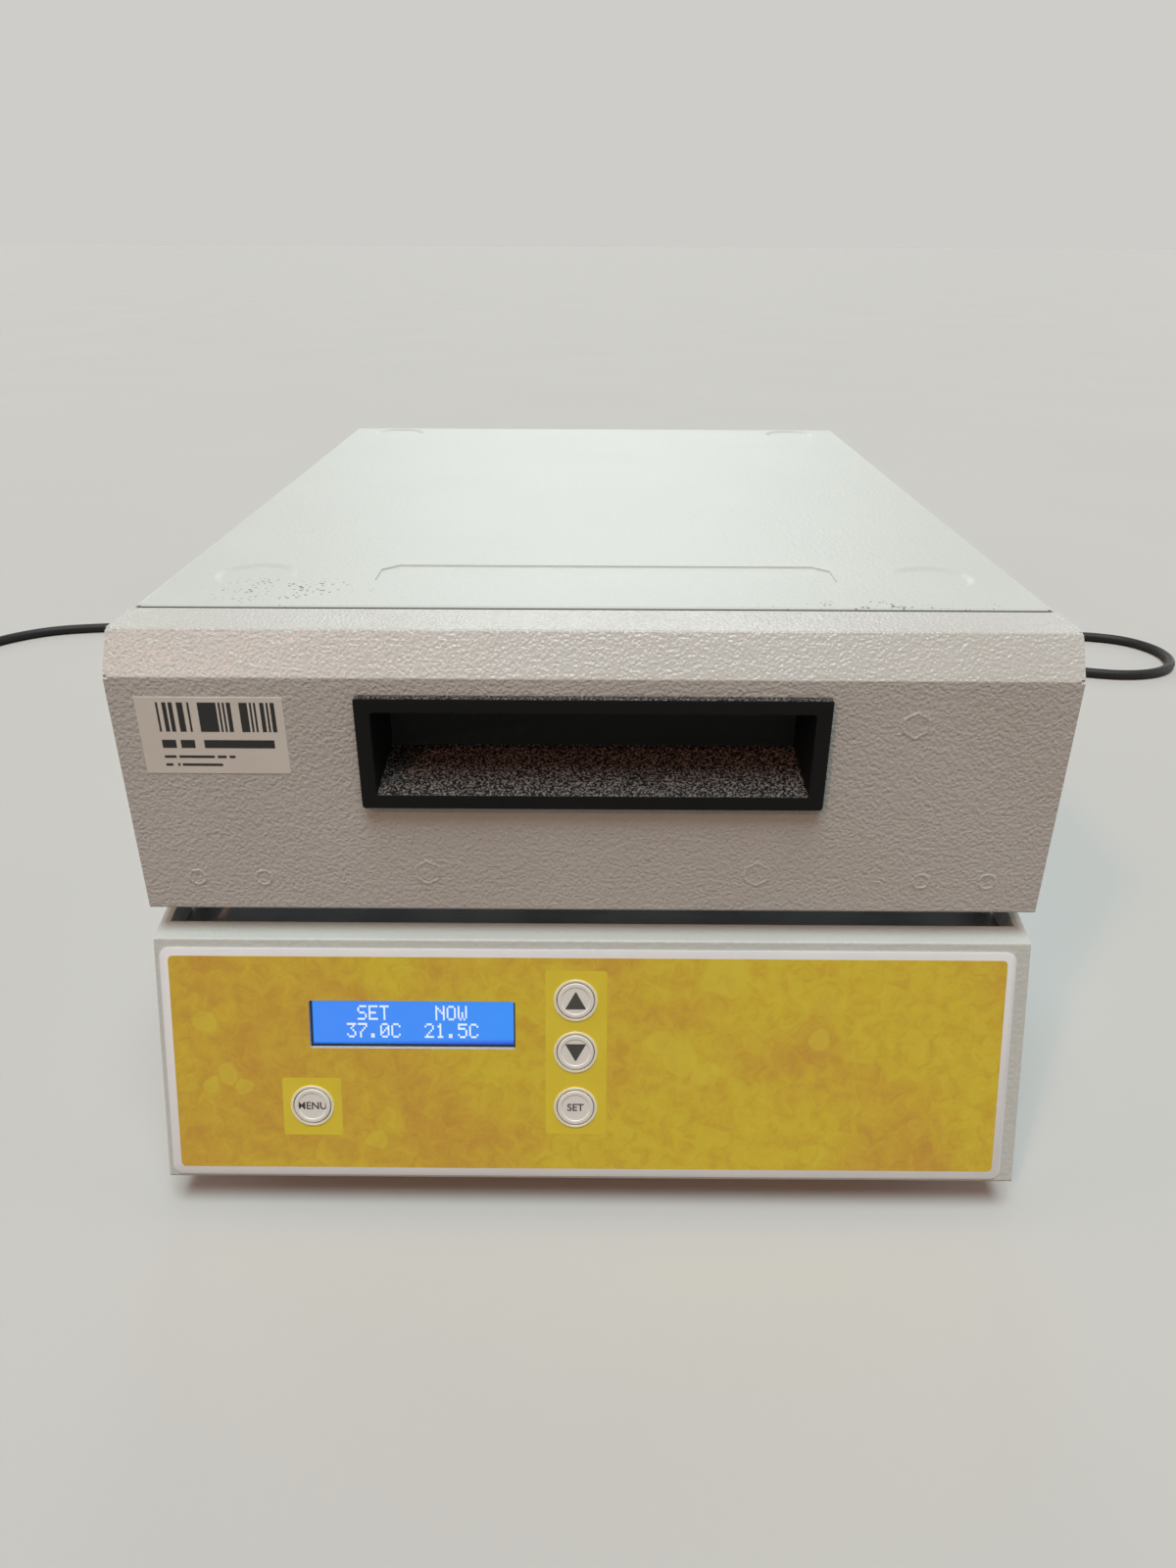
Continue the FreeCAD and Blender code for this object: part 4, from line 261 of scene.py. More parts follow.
@dataclass(frozen=True)
class MouldedPlastic(Finish):
    """Injection moulded plastic whose spark-eroded grain breaks the sheen, with a paler tone in the grain where it
    faces up: partly dust, partly painted light from above.
    """

    name: str
    tone: str
    shade: str
    grain_mm: float = 0.55
    depth_mm: float = 0.05
    roughness: float = 0.42
    specular: float = 0.5
    dust_and_light_tone: str = ""
    cloud_mm: float = 18.0

    def surface(self, tree: NodeTree, place: NodeSocket) -> Inputs:
        """Cloud the colour and raise the grain, and make the grain that faces up paler, as dust and painted light
        from above, where that tone is given.

        Args:
            tree: The node tree.
            place: The place on the piece.

        Returns:
            The shader's inputs.
        """
        grain = add_node(tree, "TexNoise", {"Vector": place, "Scale": per_metre(self.grain_mm), "Detail": 2.0,
                                            "Roughness": 0.6})
        cloud = add_node(tree, "TexNoise", {"Vector": place, "Scale": per_metre(self.cloud_mm), "Detail": 3.0})
        tone = add_node(tree, "ValToRGB", {"Fac": cloud}, ((0.3, self.shade), (0.7, self.tone)))
        # Grain that faces up takes a paler tone: partly dust, partly painted light from above.
        if self.dust_and_light_tone:
            facing = add_node(tree, "NewGeometry").node.outputs["Normal"]
            up = add_node(tree, "SeparateXYZ", {"Vector": facing}).node.outputs["Z"]
            up = add_node(tree, "MapRange", {"Value": up, "From Min": 0.35, "From Max": 0.8})
            dust_and_light_share = add_node(tree, "MapRange", {"Value": grain, "From Min": 0.46, "From Max": 0.64})
            dust_and_light_share = add_node(tree, "Math", {0: up, 1: dust_and_light_share}, operation="MULTIPLY")
            tone = add_node(tree, "Mix", {0: dust_and_light_share, 6: tone, 7: self.dust_and_light_tone}, data_type="RGBA")
        rough = add_node(tree, "MapRange", {"Value": grain, "From Min": 0.3, "From Max": 0.7,
                                            "To Min": self.roughness - 0.06, "To Max": self.roughness + 0.1})
        normal = add_node(tree, "Bump", {"Height": grain, "Distance": self.depth_mm * MM})
        return {"Base Color": tone, "Roughness": rough, "Normal": normal, "IOR": PLASTIC_IOR,
                "Specular IOR Level": self.specular}


@dataclass(frozen=True)
class SheetMetal(Finish):
    """Bare or plated sheet: its rolling or brushing lines, drawn coarser than the real ones so that they show."""

    name: str
    tone: str
    shade: str
    roughness: float = 0.34
    stretch: tuple[float, float, float] = (0.06, 1.0, 1.0)
    line_mm: float = 0.9
    cloud_mm: float = 30.0
    depth_mm: float = 0.012

    def surface(self, tree: NodeTree, place: NodeSocket) -> Inputs:
        """Draw the lines out along one axis, in the colour, the sheen and the relief.

        Args:
            tree: The node tree.
            place: The place on the piece.

        Returns:
            The shader's inputs.
        """
        drawn = add_node(tree, "Mapping", {"Vector": place, "Scale": self.stretch})
        lines = add_node(tree, "TexNoise", {"Vector": drawn, "Scale": per_metre(self.line_mm), "Detail": 3.0,
                                            "Roughness": 0.6})
        cloud = add_node(tree, "TexNoise", {"Vector": place, "Scale": per_metre(self.cloud_mm), "Detail": 3.0})
        both = add_node(tree, "Math", {0: lines, 1: cloud}, operation="ADD")
        half = add_node(tree, "Math", {0: both, 1: 0.5}, operation="MULTIPLY")
        tone = add_node(tree, "ValToRGB", {"Fac": half}, ((0.35, self.shade), (0.65, self.tone)))
        rough = add_node(tree, "MapRange", {"Value": lines, "From Min": 0.25, "From Max": 0.75,
                                            "To Min": self.roughness - 0.07, "To Max": self.roughness + 0.09})
        normal = add_node(tree, "Bump", {"Height": lines, "Distance": self.depth_mm * MM})
        return {"Base Color": tone, "Metallic": 1.0, "Roughness": rough, "Normal": normal}


@dataclass(frozen=True)
class BrightFixing(Finish):
    """Plated or turned metal: bright, with a faint clouding from the bath or the tool."""

    name: str = "zinc_plated_fixing"
    tone: str = "#C9CBCE"
    shade: str = "#A9ABB0"
    cloud_mm: float = 2.2
    fine_mm: float = 0.6
    depth_mm: float = 0.01

    def surface(self, tree: NodeTree, place: NodeSocket) -> Inputs:
        """Cloud the colour and the sheen, over a fine relief.

        Args:
            tree: The node tree.
            place: The place on the piece.

        Returns:
            The shader's inputs.
        """
        cloud = add_node(tree, "TexNoise", {"Vector": place, "Scale": per_metre(self.cloud_mm), "Detail": 3.0})
        fine = add_node(tree, "TexNoise", {"Vector": place, "Scale": per_metre(self.fine_mm), "Detail": 2.0})
        tone = add_node(tree, "ValToRGB", {"Fac": cloud}, ((0.35, self.shade), (0.65, self.tone)))
        rough = add_node(tree, "MapRange", {"Value": cloud, "From Min": 0.3, "From Max": 0.7, "To Min": 0.2,
                                            "To Max": 0.34})
        normal = add_node(tree, "Bump", {"Height": fine, "Distance": self.depth_mm * MM})
        return {"Base Color": tone, "Metallic": 1.0, "Roughness": rough, "Normal": normal}


@dataclass(frozen=True)
class PrintedFilm(Finish):
    """Polyester film printed on its back: warm yellow, marbled with ochre, under a satin coat."""

    name: str = "printed_polyester_film"
    ground: Stops = ((0.36, "#E2BE3C"), (0.5, "#E9CF3E"), (0.64, "#EDD744"))
    stain: Stops = ((0.34, "#D9A644"), (0.5, "#E1B643"), (0.66, "#E8C544"))
    pale: str = "#F0E04C"
    stain_mm: float = 62.0
    vein_mm: float = 6.0
    fine_mm: float = 0.8
    depth_mm: float = 0.006
    # The round shapes: the middle across and up the slope, and the radius, in millimetres.
    bubbles: tuple[tuple[float, float, float], ...] = (
        (29.4, 43.6, 5.8), (37.4, 37.8, 4.3), (22.4, 49.3, 4.2), (43.4, 72.0, 8.0), (74.0, 50.0, 3.6),
        (-118.6, 37.1, 3.8), (-112.8, 33.5, 2.8), (-124.2, 33.0, 2.6), (-124.6, 55.2, 4.4), (-70.0, 14.0, 3.6),
    )
    bend_mm: float = 9.0
    sway_mm: float = 5.0

    def surface(self, tree: NodeTree, place: NodeSocket) -> Inputs:
        """Marble the print in the leaning panel's own plane, and lay its round shapes.

        Args:
            tree: The node tree.
            place: The place on the piece.

        Returns:
            The shader's inputs.
        """
        flat = panel_place(tree, place)
        zone = add_node(tree, "TexNoise", {"Vector": flat, "Scale": per_metre(self.stain_mm), "Detail": 3.0,
                                           "Roughness": 0.55, "Distortion": 0.5})
        zone = add_node(tree, "MapRange", {"Value": zone, "From Min": 0.44, "From Max": 0.62})
        veins = add_node(tree, "TexNoise", {"Vector": flat, "Scale": per_metre(self.vein_mm), "Detail": 8.0,
                                            "Roughness": 0.7, "Distortion": 0.7})
        ground = add_node(tree, "ValToRGB", {"Fac": veins}, self.ground)
        stain = add_node(tree, "ValToRGB", {"Fac": veins}, self.stain)
        colour = add_node(tree, "Mix", {0: zone, 6: ground, 7: stain}, data_type="RGBA")
        colour = add_node(tree, "Mix", {0: self.rounded(tree, flat), 6: colour, 7: self.pale}, data_type="RGBA")
        fine = add_node(tree, "TexNoise", {"Vector": flat, "Scale": per_metre(self.fine_mm), "Detail": 2.0})
        normal = add_node(tree, "Bump", {"Height": fine, "Distance": self.depth_mm * MM})
        return {"Base Color": colour, "Roughness": 0.34, "Normal": normal, "IOR": COAT_IOR}

    def rounded(self, tree: NodeTree, flat: NodeSocket) -> NodeSocket:
        """Place the soft round shapes, a little out of round.

        Args:
            tree: The node tree.
            flat: The place in the panel's plane.

        Returns:
            How much of the shapes' paler colour shows.
        """
        cloud = add_node(tree, "TexNoise", {"Vector": flat, "Scale": per_metre(self.bend_mm), "Detail": 1.0})
        sway = add_node(tree, "Math", {0: cloud, 1: self.sway_mm * MM, 2: -self.sway_mm / 2 * MM},
                        operation="MULTIPLY_ADD")
        moved = add_node(tree, "VectorMath", {0: flat, 1: add_node(tree, "CombineXYZ", {"X": sway, "Y": sway})},
                         operation="ADD")
        share = 0.0
        for x, y, radius in self.bubbles:
            offset = add_node(tree, "Mapping", {"Vector": moved, "Location": (-x / radius, -y / radius, 0.0),
                                                "Scale": (1 / (radius * MM), 1 / (radius * MM), 0.0)})
            away = add_node(tree, "VectorMath", {0: offset}, operation="LENGTH").node.outputs["Value"]
            disc = add_node(tree, "MapRange", {"Value": away, "From Min": 0.85, "From Max": 1.05, "To Min": 0.45,
                                               "To Max": 0.0})
            share = add_node(tree, "Math", {0: disc, 1: share}, operation="MAXIMUM")
        return share


@dataclass(frozen=True)
class SatinPrint(Finish):
    """One printed ink or film: an even, quiet sheen with a faint cloud where the ink lies thinner."""

    name: str
    tone: str
    shade: str
    roughness: float = 0.36
    cloud_mm: float = 14.0
    fine_mm: float = 0.9
    depth_mm: float = 0.006

    def surface(self, tree: NodeTree, place: NodeSocket) -> Inputs:
        """Cloud the colour, over a fine relief.

        Args:
            tree: The node tree.
            place: The place on the piece.

        Returns:
            The shader's inputs.
        """
        cloud = add_node(tree, "TexNoise", {"Vector": place, "Scale": per_metre(self.cloud_mm), "Detail": 4.0})
        tone = add_node(tree, "ValToRGB", {"Fac": cloud}, ((0.35, self.shade), (0.65, self.tone)))
        fine = add_node(tree, "TexNoise", {"Vector": place, "Scale": per_metre(self.fine_mm), "Detail": 2.0})
        normal = add_node(tree, "Bump", {"Height": fine, "Distance": self.depth_mm * MM})
        return {"Base Color": tone, "Roughness": self.roughness, "Normal": normal, "IOR": COAT_IOR}


@dataclass(frozen=True)
class BacklitGlass(Finish):
    """Display glass over a lamp: an even blue glow that deepens along its lower and left edges."""

    name: str = "backlit_display_glass"
    body: str = "#030A20"
    glow: Stops = ((0.0, "#3C8CFF"), (0.25, "#2F93FF"), (0.6, "#2456E6"), (1.0, "#1626A8"))
    strength: float = 0.95
    # Where it deepens, from and to, in the panel's plane: rightwards, up from its foot, and in from the left.
    rightwards: tuple[float, float] = (-80.0 * MM, -26.0 * MM)
    foot: tuple[float, float] = (46.5 * MM, 49.0 * MM)
    left_end: tuple[float, float] = (-91.0 * MM, -89.5 * MM)

    def surface(self, tree: NodeTree, place: NodeSocket) -> Inputs:
        """Light the glass through a ramp of blues.

        Args:
            tree: The node tree.
            place: The place on the piece.

        Returns:
            The shader's inputs.
        """
        flat = add_node(tree, "SeparateXYZ", {"Vector": panel_place(tree, place)}).node.outputs
        right, low, left = (
            add_node(tree, "MapRange", {"Value": flat[axis], "From Min": start, "From Max": end,
                                        "To Min": before, "To Max": after})
            for axis, (start, end), before, after in (
                ("X", self.rightwards, 0.0, 0.22), ("Y", self.foot, 0.62, 0.0), ("X", self.left_end, 0.55, 0.0)))
        edges = add_node(tree, "Math", {0: low, 1: left}, operation="MAXIMUM")
        deep = add_node(tree, "Math", {0: right, 1: edges}, operation="ADD")
        glow = add_node(tree, "ValToRGB", {"Fac": deep}, self.glow)
        return {"Base Color": self.body, "Roughness": 0.2, "IOR": COAT_IOR, "Specular IOR Level": 0.2,
                "Emission Color": glow, "Emission Strength": self.strength}


@dataclass(frozen=True)
class Glow(Finish):
    """Lit dots of the display: white with a little blue at their thin places."""

    name: str = "lit_display_dots"
    body: str = "#405070"
    tone: str = "#F2FAFF"
    shade: str = "#DDF0FF"
    strength: float = 0.95
    cloud_mm: float = 3.0

    def surface(self, tree: NodeTree, place: NodeSocket) -> Inputs:
        """Cloud the light a little.

        Args:
            tree: The node tree.
            place: The place on the piece.

        Returns:
            The shader's inputs.
        """
        cloud = add_node(tree, "TexNoise", {"Vector": place, "Scale": per_metre(self.cloud_mm), "Detail": 1.0})
        tone = add_node(tree, "ValToRGB", {"Fac": cloud}, ((0.3, self.shade), (0.7, self.tone)))
        return {"Roughness": 0.4, "Base Color": self.body, "Specular IOR Level": 0.1, "Emission Color": tone,
                "Emission Strength": self.strength}


@dataclass(frozen=True)
class ClearSheet(Finish):
    """Clear window in the film: seen only as a faint gloss over the display."""

    name: str = "clear_window_film"
    tone: str = "#C6D4E2"
    shade: str = "#B8C8DA"
    alpha: float = 0.04
    cloud_mm: float = 12.0

    def surface(self, tree: NodeTree, place: NodeSocket) -> Inputs:
        """Cloud the little that shows.

        Args:
            tree: The node tree.
            place: The place on the piece.

        Returns:
            The shader's inputs.
        """
        cloud = add_node(tree, "TexNoise", {"Vector": place, "Scale": per_metre(self.cloud_mm), "Detail": 2.0})
        tone = add_node(tree, "ValToRGB", {"Fac": cloud}, ((0.3, self.shade), (0.7, self.tone)))
        return {"Base Color": tone, "Roughness": 0.15, "IOR": 1.45, "Specular IOR Level": 0.2,
                "Alpha": self.alpha}


@dataclass(frozen=True)
class Wool(Finish):
    """Pressed mineral fibre: matt, blotched, and rough with short fibres."""

    name: str = "pressed_mineral_wool"
    tone: str = "#D8CFAE"
    shade: str = "#B9AE8C"
    fibre_mm: float = 2.4
    depth_mm: float = 0.5

    def surface(self, tree: NodeTree, place: NodeSocket) -> Inputs:
        """Tangle the fibres.

        Args:
            tree: The node tree.
            place: The place on the piece.

        Returns:
            The shader's inputs.
        """
        fibres = add_node(tree, "TexNoise", {"Vector": place, "Scale": per_metre(self.fibre_mm), "Detail": 6.0,
                                             "Roughness": 0.75, "Distortion": 2.0})
        tone = add_node(tree, "ValToRGB", {"Fac": fibres}, ((0.35, self.shade), (0.65, self.tone)))
        normal = add_node(tree, "Bump", {"Height": fibres, "Distance": self.depth_mm * MM})
        return {"Base Color": tone, "Roughness": 0.95, "Normal": normal}


@dataclass(frozen=True)
class Board(Finish):
    """Solder mask over copper tracks: glossy green with the tracks just raised under it."""

    name: str = "green_circuit_board"
    tone: str = "#0B4526"
    shade: str = "#0E5A33"
    track_mm: float = 2.6
    depth_mm: float = 0.03

    def surface(self, tree: NodeTree, place: NodeSocket) -> Inputs:
        """Lay the tracks in square cells.

        Args:
            tree: The node tree.
            place: The place on the piece.

        Returns:
            The shader's inputs.
        """
        tracks = add_node(tree, "TexVoronoi", {"Vector": place, "Scale": per_metre(self.track_mm)},
                          distance="MANHATTAN")
        tone = add_node(tree, "ValToRGB", {"Fac": tracks}, ((0.25, self.shade), (0.45, self.tone)))
        normal = add_node(tree, "Bump", {"Height": tracks, "Distance": self.depth_mm * MM})
        return {"Base Color": tone, "Roughness": 0.3, "Normal": normal, "IOR": COAT_IOR}


@dataclass(frozen=True)
class PaleFloor(Finish):
    """Matt studio floor: pale to the eye, and dark to thrown light, so that the front stays as dim as on a bench."""

    name: str = "pale_floor"
    tone: str = "#D4D4D3"
    shade: str = "#D2D2D1"
    thrown: str = "#5E5852"
    cloud_mm: float = 350.0

    def surface(self, tree: NodeTree, place: NodeSocket) -> Inputs:
        """Cloud the pale colour, and keep the dark one for thrown light.

        Args:
            tree: The node tree.
            place: The place on the floor.

        Returns:
            The shader's inputs.
        """
        cloud = add_node(tree, "TexNoise", {"Vector": place, "Scale": per_metre(self.cloud_mm), "Detail": 2.0})
        pale = add_node(tree, "ValToRGB", {"Fac": cloud}, ((0.3, self.shade), (0.7, self.tone)))
        tone = add_node(tree, "Mix", {0: seen(tree), 6: self.thrown, 7: pale}, data_type="RGBA")
        return {"Base Color": tone, "Roughness": 0.8, "Specular IOR Level": 0.1}


class Finishes(Enum):
    """The oven's finishes and the floor's, each named for what it is made of and how its surface was made."""

    # Cool white polyester powder on the case: nearly even from above, with chips near its front edge.
    CASE = PowderCoat(chips=((-0.098, -0.128, 0.040, 0.026), (0.088, -0.1435, 0.060, 0.008)))
    # The same powder on the door, tinted a little warmer as painted warm light on the front, with a finer, glossier
    # peel that catches the light.
    DOOR_PAINT = PowderCoat("powder_coated_door_warm_lit", "#DADAD7", "#D6D5D1", peel_mm=1.0, depth_mm=0.33,
                            sheen=(0.16, 0.26))
    # Black ABS with a 0.2 mm grain, drawn at 0.7 mm so that it shows as points of light, and paler in the grain where
    # it faces up: partly dust, partly painted light from above.
    ABS_BLACK = MouldedPlastic("black_abs", "#0D0D0D", "#0A0A0A", grain_mm=0.7, depth_mm=0.1, roughness=0.46,
                               specular=0.14, dust_and_light_tone="#8E8682")
    # Painted black frame round the display, matt so that it reads as an edge.
    BEZEL_BLACK = MouldedPlastic("black_lacquered_bezel", "#0A0A0B", "#0E0E10", grain_mm=0.6, depth_mm=0.01,
                                 roughness=0.5, specular=0.15)
    # Moulded nylon: a duller black than ABS, with a finer grain, drawn at 0.5 mm.
    NYLON_BLACK = MouldedPlastic("black_nylon", "#161616", "#1C1C1C", grain_mm=0.5, depth_mm=0.03,
                                 roughness=0.5, specular=0.3)
    # Soft PVC on the lead and its grips: smooth, with a low dull sheen.
    PVC_BLACK = MouldedPlastic("black_pvc", "#101011", "#171718", grain_mm=0.8, depth_mm=0.02,
                               roughness=0.48, specular=0.35)
    # Moulded rubber: matt and a little grey.
    FOOT_RUBBER = MouldedPlastic("black_rubber", "#17171A", "#1E1E20", grain_mm=0.6, depth_mm=0.04,
                                 roughness=0.8, specular=0.3)
    # Cured silicone: brick red and satin.
    SILICONE = MouldedPlastic("red_silicone", "#A04A36", "#8E3F2E", grain_mm=0.9, depth_mm=0.04, roughness=0.6)
    # Polished off-white ABS on the keys: smooth, with a soft highlight round its dish.
    KEY_CAP = MouldedPlastic("key_cap_plastic", "#FBFAF6", "#F6F5F0", grain_mm=0.5, depth_mm=0.008,
                             roughness=0.3)
    # Sintered ferrite: dark grey and dull.
    MAGNET = MouldedPlastic("sintered_magnet", "#2A2A2D", "#323236", grain_mm=0.6, depth_mm=0.03,
                            roughness=0.55)
    # Drawn glass tube: pale and glossy.
    FUSE_GLASS = MouldedPlastic("fuse_glass", "#C9D2D2", "#BFC9C9", grain_mm=0.8, depth_mm=0.01,
                                roughness=0.15)
    # Zinc plated sheet: grey, with drawn rolling lines.
    PLATED = SheetMetal("zinc_plated_sheet", "#B9BCBE", "#9DA0A3", roughness=0.36)
    # Brushed stainless sheet: brighter, with finer lines along its depth.
    STAINLESS = SheetMetal("brushed_stainless_sheet", "#C6C5C2", "#A9A8A5", roughness=0.3,
                           stretch=(1.0, 0.05, 1.0), line_mm=0.7)
    # Zinc plated screws and pins: small bright points.
    FIXING = BrightFixing()
    # Turned brass pins: bright and yellow.
    BRASS = BrightFixing("bright_brass", "#D9B36A", "#B88F45")
    # The panel film's print: warm and blotched, the panel's main colour.
    FILM_PRINT = PrintedFilm()
    # White ink round the print, a satin edge, tinted a little blue as painted cool light on the leaning panel.
    FILM_BORDER = SatinPrint("film_border_ink_cool_lit", "#FAFCFF", "#F5F8FD")
    # Paler yellow ink behind the keys.
    PATCH = SatinPrint("pale_patch_ink", "#F3DE45", "#EFD83F", cloud_mm=9.0)
    # Embossed ring in the film round a key: its near-white colour is partly the ring's pale film and partly a painted
    # highlight where the light catches the rim.
    KEY_RING = SatinPrint("highlit_key_ring_film", "#FFFCE6", "#FAF5D2", roughness=0.25, cloud_mm=3.0)
    # Dark grey ink of the arrows and words.
    LEGEND = SatinPrint("dark_legend_ink", "#4B4A48", "#434240", roughness=0.5)
    # White paper label under a clear film: a clean, slightly glossy white.
    PAPER = SatinPrint("white_label_film", "#FBFAF6", "#F6F4EE", roughness=0.38)
    # Black ink of the label's bars.
    LABEL_INK = SatinPrint("black_label_ink", "#161514", "#1E1C1B", roughness=0.5)
    # White ink pressed into the rocker.
    PALE_MARK = SatinPrint("white_marking_ink", "#D8D8D6", "#CFCFCC", roughness=0.5)
    # The display's lit dots, its glass and the window over it: the only part that gives light.
    GLOW = Glow()
    DISPLAY = BacklitGlass()
    WINDOW = ClearSheet()
    # Pressed mineral wool in the walls: straw coloured and tangled.
    WOOL = Wool()
    # Circuit boards: dark glossy green.
    BOARD = Board()
    # The studio's floor.
    FLOOR = PaleFloor()

    @property
    def material(self) -> Material:
        """Give the finish's material, made once."""
        return bpy.data.materials.get(self.value.name) or self.value.build()


# Pieces


def anywhere(middle: Vector, direction: Vector) -> bool:
    """Pick every element."""
    return True


def facing_out(middle: Vector, direction: Vector) -> bool:
    """Pick the faces that look out of the plane that a flat piece is built on."""
    return direction.z > ALONG


def upright(middle: Vector, direction: Vector) -> bool:
    """Pick the edges or faces that lie along z."""
    return abs(direction.z) > ALONG


def lengthwise(middle: Vector, direction: Vector) -> bool:
    """Pick the edges that run along y."""
    return abs(direction.y) > ALONG


def wear(obj: bpy.types.Object, finish: Finishes) -> None:
    """Give an object one finish in place of what it had."""
    obj.data.materials.clear()
    obj.data.materials.append(finish.material)


class Piece:
    """One piece on the workbench, shaped with Blender's own tools."""

    def __init__(self, name: str) -> None:
        """Take the active object as the piece.

        Args:
            name: The piece's name.
        """
        self.obj = bpy.context.active_object
        self.obj.name = name
        self.apply()

    @staticmethod
    def clear() -> None:
        """Select nothing."""
        if bpy.context.object and bpy.context.object.mode != "OBJECT":
            bpy.ops.object.mode_set(mode="OBJECT")
        bpy.ops.object.select_all(action="DESELECT")

    @classmethod
    def block(cls, name: str, low: Sequence[float], high: Sequence[float]) -> "Piece":
        """Start a piece from a block.

        Args:
            name: The piece's name.
            low: Its lowest corner.
            high: Its highest corner.

        Returns:
            The piece.
        """
        cls.clear()
        low, high = Vector(low), Vector(high)
        bpy.ops.mesh.primitive_cube_add(size=1, location=(low + high) / 2, scale=high - low)
        return cls(name)

    @classmethod
    def round(cls, name: str, axis: str, centre: Sequence[float], ends: tuple[float, float], radius: float,
              tip: float | None = None, sides: int = 48) -> "Piece":
        """Start a piece from a cylinder or a cone's frustum.

        Args:
            name: The piece's name.
            axis: y or z.
            centre: The axis's place across, its two coordinates in order.
            ends: Where it starts and ends along the axis.
            radius: The radius at the start.
            tip: The radius at the end, if it differs.
            sides: The number of sides.

        Returns:
            The piece.
        """
        cls.clear()
        middle = (ends[0] + ends[1]) / 2
        turn = {"y": (-math.pi / 2, 0, 0), "z": (0, 0, 0)}[axis]
        place = {"y": (centre[0], middle, centre[1]), "z": (*centre, middle)}[axis]
        bpy.ops.mesh.primitive_cone_add(vertices=sides, radius1=radius, radius2=radius if tip is None else tip,
                                        depth=ends[1] - ends[0], location=place, rotation=turn)
        return cls(name)

    @classmethod
    def grid(cls, name: str, left: float, top: float, height: float, cell: tuple[float, float],
             counts: tuple[int, int]) -> "Piece":
        """Start a piece from a flat grid.

        Args:
            name: The piece's name.
            left: Its left edge.
            top: Its top edge.
            height: How far it stands out of its plane.
            cell: A cell's width and height.
            counts: How many cells there are across and up.

        Returns:
            The piece.
        """
        cls.clear()
        width, tall = cell[0] * counts[0], cell[1] * counts[1]
        bpy.ops.mesh.primitive_grid_add(x_subdivisions=counts[0], y_subdivisions=counts[1], size=1,
                                        location=(left + width / 2, top - tall / 2, height))
        bpy.context.active_object.scale = (width, tall, 1)
        return cls(name)

    @classmethod
    def word(cls, name: str, text: str, size: float, place: Sequence[float], thickness: float,
             bolder: float = 0.07 * MM) -> "Piece":
        """Start a piece from a word that lies flat, centred on a place.

        Args:
            name: The piece's name.
            text: The word.
            size: The letters' size.
            place: The middle of the word.
            thickness: How far it stands out.
            bolder: How far the letters' outlines are moved out.

        Returns:
            The piece.
        """
        cls.clear()
        bpy.ops.object.text_add(location=place)
        curve = bpy.context.active_object.data
        curve.body, curve.size, curve.offset, curve.extrude = text, size, bolder, thickness / 2
        curve.align_x, curve.align_y, curve.resolution_u = "CENTER", "CENTER", 4
        bpy.ops.object.convert(target="MESH")
        return cls(name)

    def ready(self) -> None:
        """Select this piece alone."""
        self.clear()
        self.obj.select_set(True)
        bpy.context.view_layer.objects.active = self.obj

    def apply(self) -> None:
        """Put the piece's place, turn and size into its mesh."""
        self.ready()
        bpy.ops.object.transform_apply(location=True, rotation=True, scale=True)

    def pick(self, kind: str, test: Pick) -> None:
        """Enter edit mode and select elements by their middle and their normal or direction.

        Args:
            kind: VERT, EDGE or FACE.
            test: Tells from the middle and the direction whether to select an element.
        """
        self.ready()
        bpy.ops.object.mode_set(mode="EDIT")
        bpy.ops.mesh.select_mode(type=kind)
        bpy.ops.mesh.select_all(action="DESELECT")
        mesh = bmesh.from_edit_mesh(self.obj.data)
        for item in {"VERT": mesh.verts, "EDGE": mesh.edges, "FACE": mesh.faces}[kind]:
            if kind == "FACE":
                item.select_set(test(item.calc_center_median(), item.normal))
            elif kind == "EDGE":
                first, last = (vertex.co for vertex in item.verts)
                item.select_set(test((first + last) / 2, (last - first).normalized()))
            else:
                item.select_set(test(item.co, item.normal))
        mesh.select_flush_mode()
        bmesh.update_edit_mesh(self.obj.data)

    def shape(self, kind: str, test: Pick, operator: Callable[..., object], **settings: object) -> "Piece":
        """Run one edit operator on what a test picks.

        Args:
            kind: VERT, EDGE or FACE.
            test: Tells which elements to pick.
            operator: The operator.
            **settings: The operator's settings.

        Returns:
            The piece.
        """
        self.pick(kind, test)
        operator(**settings)
        bpy.ops.object.mode_set(mode="OBJECT")
        return self

    def bevel(self, width: float, segments: int = 3, test: Pick = anywhere) -> "Piece":
        """Bevel the picked edges."""
        return self.shape("EDGE", test, bpy.ops.mesh.bevel, offset=width, segments=segments, affect="EDGES",
                          clamp_overlap=True)

    def inset(self, thickness: float, test: Pick) -> "Piece":
        """Inset the picked faces."""
        return self.shape("FACE", test, bpy.ops.mesh.inset, thickness=thickness)

    def push(self, move: Sequence[float], test: Pick = anywhere) -> "Piece":
        """Extrude the picked faces by a move."""
        return self.shape("FACE", test, bpy.ops.mesh.extrude_region_move,
                          TRANSFORM_OT_translate={"value": tuple(move)})

    def move(self, move: Sequence[float], test: Pick) -> "Piece":
        """Move the picked vertices."""
        return self.shape("VERT", test, bpy.ops.transform.translate, value=tuple(move))

    def drop(self, test: Pick) -> "Piece":
        """Delete the picked faces."""
        return self.shape("FACE", test, bpy.ops.mesh.delete, type="FACE")

    def tunnel(self, test: Pick) -> "Piece":
        """Bridge two picked faces into a hole right through."""
        return self.shape("FACE", test, bpy.ops.mesh.bridge_edge_loops)

    def shrink_cells(self, gap: float) -> "Piece":
        """Draw each face in from its neighbours, and delete the strips between.

        Args:
            gap: How far each face is drawn in.

        Returns:
            The piece.
        """
        self.pick("FACE", anywhere)
        bpy.ops.mesh.inset(thickness=gap, use_individual=True)
        bpy.ops.mesh.select_all(action="INVERT")
        bpy.ops.mesh.delete(type="FACE")
        bpy.ops.object.mode_set(mode="OBJECT")
        return self

